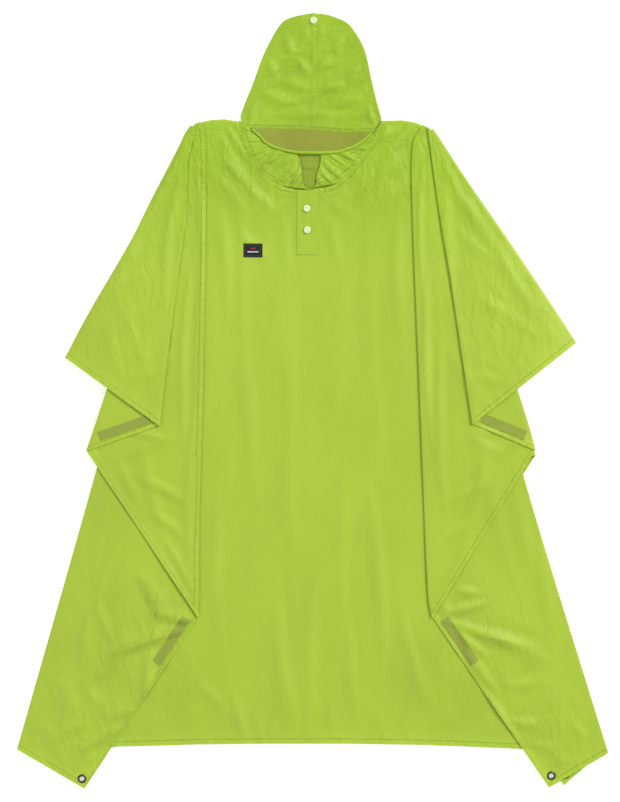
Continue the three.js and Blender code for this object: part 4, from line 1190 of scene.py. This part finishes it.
def hood_piece(side_name):
    """Half the hood: the crown turned up and back under itself, and the gathered cheek."""
    props = bpy.context.scene.poncho
    half = HOOD[side_name]
    count, rows, under_rows, cheek = HOOD_GRID.values()
    outline = smooth_line(half["outline"], count)
    brow = smooth_line(half["brow"], count)
    nape = along(neckline(BACK_RULINGS, "back", side_name), np.linspace(0, 1, count))
    face = along(smooth_line(half["face"], 80), np.linspace(0, 1, cheek))
    seam = along(neckline(FRONT_RULINGS, "front", side_name)[::-1], np.linspace(0, 1, cheek))
    low = FLOOR_MIDDLE
    columns = []
    for r in range(count):
        top = float(collar_height(outline[r]))
        radius = (top - low) / 2
        d = (outline[r] - brow[r]) / (np.hypot(*(outline[r] - brow[r])) + 1e-9)
        base = outline[r] - d * radius
        v = np.linspace(0, 1, rows)[:, None]
        upper = brow[r] + (base - brow[r]) * v
        fall = np.clip((1 - v[:, 0]) * 6, 0, 1) * np.clip(v[:, 0] * 8, 0, 1)
        upper = np.column_stack([upper, collar_height(upper) + hood_ridges(upper) * fall])
        bend = []
        for t in (0.2, 0.4, 0.6, 0.8):
            flat = base + d * radius * math.sin(math.pi * t)
            bend.append([*flat, top + (low - top) * (1 - math.cos(math.pi * t)) / 2])
        u = np.linspace(0, 1, under_rows)[:, None]
        under = base + (nape[r] - base) * u
        under = np.column_stack([under, np.full(under_rows, low)])
        columns.append(np.vstack([upper, bend, under]))
    blank = np.full((4 + under_rows, 3), np.nan)
    for q in range(1, cheek):
        t = q / (cheek - 1)
        v = np.linspace(0, 1, rows)[:, None]
        flat = face[q] + (seam[q] - face[q]) * v
        turns = props.gathers * (t + 0.02 * math.sin(9 * t) + 0.012 * math.sin(23 * t))
        lean = GATHER["lean"] * np.sin(3 * v[:, 0] + 5 * t)
        wave = (1 - np.cos(2 * math.pi * turns + lean)) / 2
        w = np.clip((v[:, 0] - 0.1) / 0.9, 0, 1)
        tall = GATHER["tall"] + GATHER["uneven"] * math.sin(17 * t + 1)
        body = np.sin(math.pi * w**0.9) ** 0.9 * math.sin(math.pi * t) ** 0.5
        between_them = 1 - np.cos(2 * math.pi * (2.6 * props.gathers * t + v[:, 0]))
        rise = (tall * wave**1.7 + GATHER["ripple"] * between_them / 2) * body
        columns.append(np.vstack([np.column_stack([flat, collar_height(flat) + rise]), blank]))
    grid = np.array(columns)
    verts, faces, top, _, source = sheet_wall(grid, SHELL)
    GRIDS[f"hood_{side_name}"] = top
    run = run_lengths(grid)
    edge = run + 0.5
    ends = run[:, rows - 1: rows] - run
    edge[count:] = np.maximum(np.abs(ends[count:]), 4.0)
    fine = np.full(grid.shape[:2], 0.5)
    fine[count:] = 1.0
    fields = {"edge": np.clip(edge, 0, CLEAR_OF_EDGE).reshape(-1)[source],
              "crumpled": fine.reshape(-1)[source]}
    one = mesh_object(f"hood_cloth_{side_name}", verts, faces, finish("hood"), fields=fields)
    # The hood's upward faces down at the floor get the olive finish, which is painted shade.
    one.data.materials.append(finish("shaded_inside"))
    for face in one.data.polygons:
        if face.center.z < (FLOOR_MIDDLE + 0.4) * MM and face.normal.z > 0.5:
            face.material_index = 1
    finish_piece(one, [f"hood_{side_name}"])
    return one


def patch(name, outline, height, thick, material, across=(14, 24), crown=0.0):
    """A flat trim on a surface: a closed sheet over the outline; height(p) sets its underside."""
    a, b, c, d = (np.asarray(p, float) for p in outline)
    n, m = across
    grid = np.zeros((n + 1, m + 1, 3))
    for i in range(n + 1):
        for j in range(m + 1):
            p = (a + (b - a) * i / n) * (1 - j / m) + (d + (c - d) * i / n) * (j / m)
            lift = crown * math.sin(math.pi * i / n) * math.sin(math.pi * j / m)
            grid[i, j] = [*p, float(height(p)) + thick / 2 + lift]
    verts, faces, top, _, source = sheet_wall(grid, thick)
    return mesh_object(name, verts, faces, material, fields=even_fields(source, 0.35)), top


def on_front(p):
    """Where a trim lies on the front's centre panel."""
    return PILE.at("front1", p) + SHELL / 2 + LIFT


def set_back(top, column, row, other, depth):
    """A point on one column's surface, a distance from one row towards another."""
    a, b = top[column, row], top[column, other]
    return a + (b - a) / (np.linalg.norm(b - a) + 1e-9) * depth


def stitches(name, lines, pitch, size=THREAD_SIZE, thread="thread", slot="coated_nylon"):
    """Rows of short raised thread lengths along 3-D lines, sunk a little into the cloth."""
    verts, faces = [], []
    long, wide, tall = (s / 2 for s in size)
    ring = [(-1, -0.6, 0), (-1, 0.6, 0), (-0.55, 1, 1), (-0.55, -1, 1),
            (0.55, -1, 1), (0.55, 1, 1), (1, 0.6, 0), (1, -0.6, 0)]
    quads = [(0, 1, 2, 3), (3, 2, 5, 4), (4, 5, 6, 7), (0, 3, 4, 7), (1, 6, 5, 2), (0, 7, 6, 1)]
    for line in lines:
        p = np.asarray(line, float)
        p = p[~np.isnan(p[:, 0])]
        if len(p) < 2:
            continue
        run = np.concatenate([[0], np.cumsum(np.linalg.norm(np.diff(p, axis=0), axis=1))])
        at = np.arange(pitch / 2, run[-1], pitch)
        middle, ahead, behind = (
            np.stack([np.interp(at + move, run, p[:, k]) for k in range(3)], axis=1)
            for move in (0.0, 1.0, -1.0)
        )
        for m, h, k in zip(middle, ahead, behind):
            d = h - k
            d /= np.linalg.norm(d) + 1e-9
            s = np.array([-d[1], d[0], 0.0])
            s /= np.linalg.norm(s) + 1e-9
            up = np.cross(d, s)
            first = len(verts)
            for x, y, z in ring:
                verts.append(m + d * x * long + s * y * wide + up * (z * 2 * tall - 0.1))
            faces += [[first + i for i in quad] for quad in quads]
    one = mesh_object(name, verts, faces, finish(thread), 30)
    finish_piece(one)


# Properties and operators.


class PonchoSettings(bpy.types.PropertyGroup):
    """Sizes and colours of the poncho."""

    cloth_colour: bpy.props.FloatVectorProperty(
        name="Cloth colour", description="Colour of the coated cloth", subtype="COLOR", size=3,
        min=0.0, max=1.0, default=(0.376, 0.528, 0.031),
    )
    roughness: bpy.props.FloatProperty(
        name="Cloth roughness", description="How dull the cloth's coating is", default=0.48,
        min=0.1, max=1.0, subtype="FACTOR",
    )
    panel_step: bpy.props.FloatProperty(
        name="Cloth mesh step", description="Spacing of the panels' mesh lines", default=0.0067,
        min=0.005, max=0.03, unit="LENGTH",
    )
    gathers: bpy.props.IntProperty(
        name="Neck gathers", description="Gathers on each half of the neck seam", default=8,
        min=0, max=20,
    )
    thread_pitch: bpy.props.FloatProperty(
        name="Stitch pitch", description="Distance from stitch to stitch", default=0.0036,
        min=0.002, max=0.01, unit="LENGTH",
    )
    floor_size: bpy.props.FloatProperty(
        name="Floor size", description="Width of the pale floor", default=9.0, min=3.0,
        unit="LENGTH",
    )


class PONCHO_OT_panels(bpy.types.Operator):
    """Make the front and back panels, folded in and out from the shoulder corners"""

    bl_idname = "poncho.panels"
    bl_label = "Front and back panels"

    def execute(self, context):
        front = panel_piece("front", FRONT, FRONT_RULINGS)
        back = panel_piece("back", BACK, BACK_RULINGS)
        GRIDS["objects"] = {"front": front, "back": back}
        return {"FINISHED"}


class PONCHO_OT_hood(bpy.types.Operator):
    """Make the two hood halves, with the crown turned up and the cheeks gathered into the neck"""

    bl_idname = "poncho.hood"
    bl_label = "Hood halves"

    def execute(self, context):
        for side in SIDES:
            GRIDS["objects"][f"hood_{side}"] = hood_piece(side)
        return {"FINISHED"}


def visor_height(p):
    return float(collar_height(p)) + VISOR["rise"]


class PONCHO_OT_visor(bpy.types.Operator):
    """Make the stiffened visor and the bound rim along its edge"""

    bl_idname = "poncho.visor"
    bl_label = "Visor"

    def execute(self, context):
        edge, brow = smooth_line(VISOR_EDGE, 60), smooth_line(VISOR_BROW, 60)
        grid = []
        for e, b in zip(edge, brow):
            column = []
            for t in np.linspace(0, 1, VISOR["rows"]):
                p = b + (e - b) * t
                column.append([*p, visor_height(p) + VISOR["crown"] * math.sin(math.pi * t)])
            grid.append(column)
        verts, faces, _, _, source = sheet_wall(np.array(grid), VISOR["thick"])
        # The visor gets the olive finish, which is painted shade.
        visor = mesh_object("visor_cloth", verts, faces, finish("visor"),
                            fields=even_fields(source, 0.5))
        finish_piece(visor, ["visor"])
        GRIDS["objects"]["visor"] = visor
        d = np.gradient(edge, axis=0)
        d /= np.hypot(d[:, 0], d[:, 1])[:, None]
        out = np.stack([d[:, 1], -d[:, 0]], axis=1)
        verts, faces = [], []
        for e, n in zip(edge, out):
            z = visor_height(e)
            verts += [[*(e + n * a), z + b] for a, b in RIM_PROFILE]
        k = len(RIM_PROFILE)
        last = (len(edge) - 1) * k
        for i in range(0, last, k):
            for j in range(k):
                a, b = i + j, i + (j + 1) % k
                faces.append([a, b, b + k, a + k])
        faces += [list(range(k)), list(range(last, last + k))]
        rim = mesh_object("visor_rim", verts, faces, finish("hood"), 50)
        finish_piece(rim, ["visor_binding"])
        return {"FINISHED"}


class PONCHO_OT_trims(bpy.types.Operator):
    """Make the placket, the strip beneath it, the blank label and the hook and loop tapes"""

    bl_idname = "poncho.trims"
    bl_label = "Placket, label and tapes"

    def execute(self, context):
        placket, top = patch("placket_cloth", trim_outline(PLACKET), on_front, THICK["placket"],
                             finish("cloth"), crown=0.35)
        finish_piece(placket, ["placket"])
        GRIDS["placket"] = top
        # The underlap gets the olive finish, which is painted shade.
        lap, _ = patch("underlap_cloth", trim_outline(UNDERLAP), lambda p: FLOOR_MIDDLE + 0.8,
                       THICK["underlap"], finish("shaded_inside"))
        finish_piece(lap, ["placket_underlap"])
        badge, GRIDS["label"] = patch("label_patch", trim_outline(LABEL), on_front,
                                      THICK["label"], finish("label"), (12, 10), 0.15)
        finish_piece(badge, ["label"])
        GRIDS["objects"].update(placket=placket, underlap=lap, label=badge)
        middle = (LABEL["top"] + LABEL["bottom"]) / 2
        for name, y, width, high in LABEL_BARS:
            bar = rectangle(LABEL["x"], middle + y + high / 2, middle + y - high / 2, width)
            one, _ = patch(name, bar, lambda p: on_front(p) + BAR_LIFT, THICK["bar"],
                           finish(name), (12, 2))
            finish_piece(one)
        GRIDS["tapes"] = []
        for kind, panel, word, way in (("front", FRONT, "strip", 1), ("back", BACK, "mate", -1)):
            lift = SHELL / 2 * way + TAPE_LIFT[kind]
            for side in SIDES:
                for level, rank in TAPE_LAYERS.items():
                    shape = strip_outline(side, panel, level)
                    tape, _ = patch(
                        f"tape_{word}_{level}_{side}", shape,
                        lambda p, n=f"{kind}{rank}", k=lift: PILE.at(n, p) + k,
                        STRIP["thick"], finish("tape"), (30, 6),
                    )
                    finish_piece(tape, [f"{word}_{level}_{side}"])
                    GRIDS["tapes"].append((tape, length_of(shape[:2])))
        return {"FINISHED"}


def shape_ring(name, x, y, z):
    """A two-part eyelet: a rolled washer over a barrel, from a torus pressed flat."""
    deselect()
    bpy.ops.mesh.primitive_torus_add(
        major_segments=48, minor_segments=16, major_radius=RING["middle"] * MM,
        minor_radius=RING["roll"] * MM, location=(x * MM, y * MM, z * MM),
    )
    ring = bpy.context.active_object
    ring.name = name
    bpy.ops.object.mode_set(mode="EDIT")
    bpy.ops.mesh.select_all(action="SELECT")
    bpy.ops.transform.resize(
        value=(1.0, 1.0, RING["flatness"]), center_override=(x * MM, y * MM, z * MM),
    )
    bpy.ops.object.mode_set(mode="OBJECT")
    bpy.ops.object.transform_apply(location=True, rotation=True, scale=True)
    bpy.ops.object.shade_smooth_by_angle(angle=math.radians(60))
    ring.data.materials.clear()
    ring.data.materials.append(finish("nickel"))
    deselect()
    return ring


class PONCHO_OT_metal(bpy.types.Operator):
    """Make the four corner eyelets and the three snap caps"""

    bl_idname = "poncho.metal"
    bl_label = "Eyelets and snaps"

    def execute(self, context):
        for key, (x, y) in EYES.items():
            z = EYE_HEIGHT[key.split("_")[0]]
            ring = shape_ring(f"eyelet_ring_{key}", x, y, z)
            finish_piece(ring, [f"eyelet_{key}"])
        for key, (x, y) in CAPS.items():
            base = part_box(f"snap_cap_{key}")[0][2] / MM
            deselect()
            bpy.ops.mesh.primitive_cylinder_add(
                vertices=48, radius=CAP["radius"] * MM, depth=CAP["depth"] * MM,
                location=(x * MM, y * MM, (base + CAP["depth"] / 2) * MM),
            )
            cap = context.active_object
            cap.name = f"snap_{key}"
            bpy.ops.object.mode_set(mode="EDIT")
            bpy.ops.mesh.select_mode(type="FACE")
            bpy.ops.mesh.select_all(action="DESELECT")
            bpy.ops.object.mode_set(mode="OBJECT")
            for face in cap.data.polygons:
                face.select = face.normal.z > 0.9
            bpy.ops.object.mode_set(mode="EDIT")
            for width, rise in CAP_STEPS:
                bpy.ops.mesh.inset(thickness=width * MM, depth=rise * MM)
            bpy.ops.object.mode_set(mode="OBJECT")
            bpy.ops.object.transform_apply(location=True, rotation=True, scale=True)
            edge = cap.modifiers.new("edge", "BEVEL")
            edge.width = CAP["bevel"] * MM
            edge.segments = 3
            edge.limit_method = "ANGLE"
            edge.angle_limit = math.radians(25)
            bpy.ops.object.modifier_apply(modifier=edge.name)
            bpy.ops.object.shade_smooth_by_angle(angle=math.radians(35))
            cap.data.materials.clear()
            cap.data.materials.append(finish("snap"))
            deselect()
            finish_piece(cap, [f"snap_cap_{key}"])
        return {"FINISHED"}


class PONCHO_OT_sewing(bpy.types.Operator):
    """Sew the hems, neck seam, hood seam, placket, label and tapes"""

    bl_idname = "poncho.sewing"
    bl_label = "Sewing"

    def execute(self, context):
        pitch = context.scene.poncho.thread_pitch / MM
        for kind in ("front", "back"):
            data = GRIDS[kind]
            top = data["top"]
            start, tags, _ = data["marks"]
            lines = [top[:, -3] if kind == "front" else data["low"][:, -3]]
            first, last = NECKS[kind]
            neck = [start + k for k, tag in enumerate(tags) if first + 0.1 <= tag <= last - 0.1
                    and not SLIT["from"] <= tag < SLIT["to"]]
            split = [i for i in range(1, len(neck)) if neck[i] != neck[i - 1] + 1]
            for group in np.split(np.array(neck), split):
                for depth in SEWN_AT["neck"]:
                    lines.append([set_back(top, c, 3, 4, depth) for c in group])
            stitches(f"stitches_{kind}", lines, pitch)
        lines = []
        count, rows = HOOD_GRID["across"], HOOD_GRID["rows"]
        for side in SIDES:
            top = GRIDS[f"hood_{side}"]
            lines.append(top[2, 2:rows])
            lines.append([set_back(top, c, 0, 6, SEWN_AT["brow"]) for c in range(count)])
            face = []
            for c in range(count + 40, top.shape[0] - 6):
                whole = np.linalg.norm(top[c, rows - 1] - top[c, 0])
                face.append(set_back(top, c, 0, 6, min(SEWN_AT["face"], 0.3 * whole)))
            lines.append(face)
        stitches("stitches_hood", lines, pitch)
        top = GRIDS["placket"]
        lines = [top[1, 1:-1], top[-2, 1:-1], top[1:-1, 1], top[1:-1, 3],
                 [top[1, 1], top[-2, 3]], [top[1, 3], top[-2, 1]]]
        stitches("stitches_placket", lines, *THREADS["placket"])
        x = UNDERLAP["x"] - UNDERLAP["width"] / 2 - SEWN_AT["underlap"]
        high, low = UNDERLAP["top"] - 2.0, UNDERLAP["bottom"]
        path = np.array([[x, y] for y in np.linspace(high, low, 40)])
        lines = [np.column_stack([path, PILE.at("front1", path) + SHELL / 2])]
        for side in SIDES:
            for level, rank in TAPE_LAYERS.items():
                corners = np.array(strip_outline(side, FRONT, level))
                middle = corners.mean(axis=0)
                inset = SEWN_AT["tape"]
                ring = np.array([middle + (c - middle) * (1 - inset / np.hypot(*(c - middle)))
                                 for c in [*corners, corners[0]]])
                ring = along(ring, np.linspace(0, 1, 90))
                z = PILE.at(f"front{rank}", ring) + SHELL / 2 + 0.85
                lines.append(np.column_stack([ring, z]))
        stitches("stitches_tapes", lines, *THREADS["tapes"])
        top = GRIDS["label"]
        ring = [*top[1:-1, 1], *top[-2, 1:-1], *top[1:-1, -2][::-1], *top[1, 1:-1][::-1]]
        stitches("stitches_label", [ring], *THREADS["label"], "border", "label_weave")
        return {"FINISHED"}


class PONCHO_OT_stage(bpy.types.Operator):
    """Make the pale floor, the soft lights and the camera straight above"""

    bl_idname = "poncho.stage"
    bl_label = "Stage"

    def execute(self, context):
        props = context.scene.poncho
        deselect()
        bpy.ops.mesh.primitive_plane_add(size=props.floor_size, location=(0, 0, -0.0005))
        floor = context.active_object
        floor.name = "floor"
        material = bpy.data.materials.new("Pale floor")
        material.use_nodes = True
        shader = material.node_tree.nodes["Principled BSDF"]
        shader.inputs["Base Color"].default_value = (0.93, 0.93, 0.93, 1)
        shader.inputs["Emission Color"].default_value = WHITE
        shader.inputs["Emission Strength"].default_value = FLOOR_GLOW
        shader.inputs["Roughness"].default_value = 0.9
        shader.inputs["Specular IOR Level"].default_value = 0.1
        floor.data.materials.append(material)
        world = bpy.data.worlds.new("Soft studio")
        context.scene.world = world
        world.use_nodes = True
        sky = world.node_tree.nodes["Background"]
        sky.inputs["Color"].default_value = WHITE
        sky.inputs["Strength"].default_value = SKY_STRENGTH
        for name, place, size, power in LIGHTS:
            data = bpy.data.lights.new(name, "AREA")
            data.shape = "RECTANGLE"
            data.size, data.size_y = size
            data.energy = power
            light = bpy.data.objects.new(name, data)
            context.scene.collection.objects.link(light)
            light.location = place
            light.rotation_euler = (-Vector(place)).to_track_quat("-Z", "Y").to_euler()
        data = bpy.data.cameras.new("Camera")
        camera = bpy.data.objects.new("Camera", data)
        context.scene.collection.objects.link(camera)
        data.sensor_fit = "HORIZONTAL"
        data.sensor_width = CAMERA["sensor"]
        data.lens = CAMERA["sensor"] * CAMERA["height"] / CAMERA["width"]
        data.clip_end = 50.0
        camera.location = (CAMERA["x"], CAMERA["y"], CAMERA["height"])
        camera.rotation_euler = (0, 0, 0)
        context.scene.camera = camera
        context.scene.view_settings.view_transform = "Standard"
        deselect()
        return {"FINISHED"}


OPERATORS = (
    PONCHO_OT_panels, PONCHO_OT_hood, PONCHO_OT_visor, PONCHO_OT_trims, PONCHO_OT_metal,
    PONCHO_OT_sewing, PONCHO_OT_stage,
)


class PONCHO_PT_panel(bpy.types.Panel):
    """Sidebar panel of the poncho's operators"""

    bl_idname = "PONCHO_PT_panel"
    bl_label = "Rain Poncho"
    bl_space_type = "VIEW_3D"
    bl_region_type = "UI"
    bl_category = "Rain Poncho"

    def draw(self, context):
        settings = context.scene.poncho
        for name in ("cloth_colour", "roughness", "panel_step", "gathers", "thread_pitch",
                     "floor_size"):
            self.layout.prop(settings, name)
        for operator in OPERATORS:
            self.layout.operator(operator.bl_idname)


CLASSES = (PonchoSettings, *OPERATORS, PONCHO_PT_panel)


def register():
    for one in CLASSES:
        bpy.utils.register_class(one)
    bpy.types.Scene.poncho = bpy.props.PointerProperty(type=PonchoSettings)


def unregister():
    del bpy.types.Scene.poncho
    for one in reversed(CLASSES):
        bpy.utils.unregister_class(one)


def main():
    register()
    for operator in OPERATORS:
        group, name = operator.bl_idname.split(".")
        getattr(getattr(bpy.ops, group), name)()


if __name__ == "__main__":
    main()
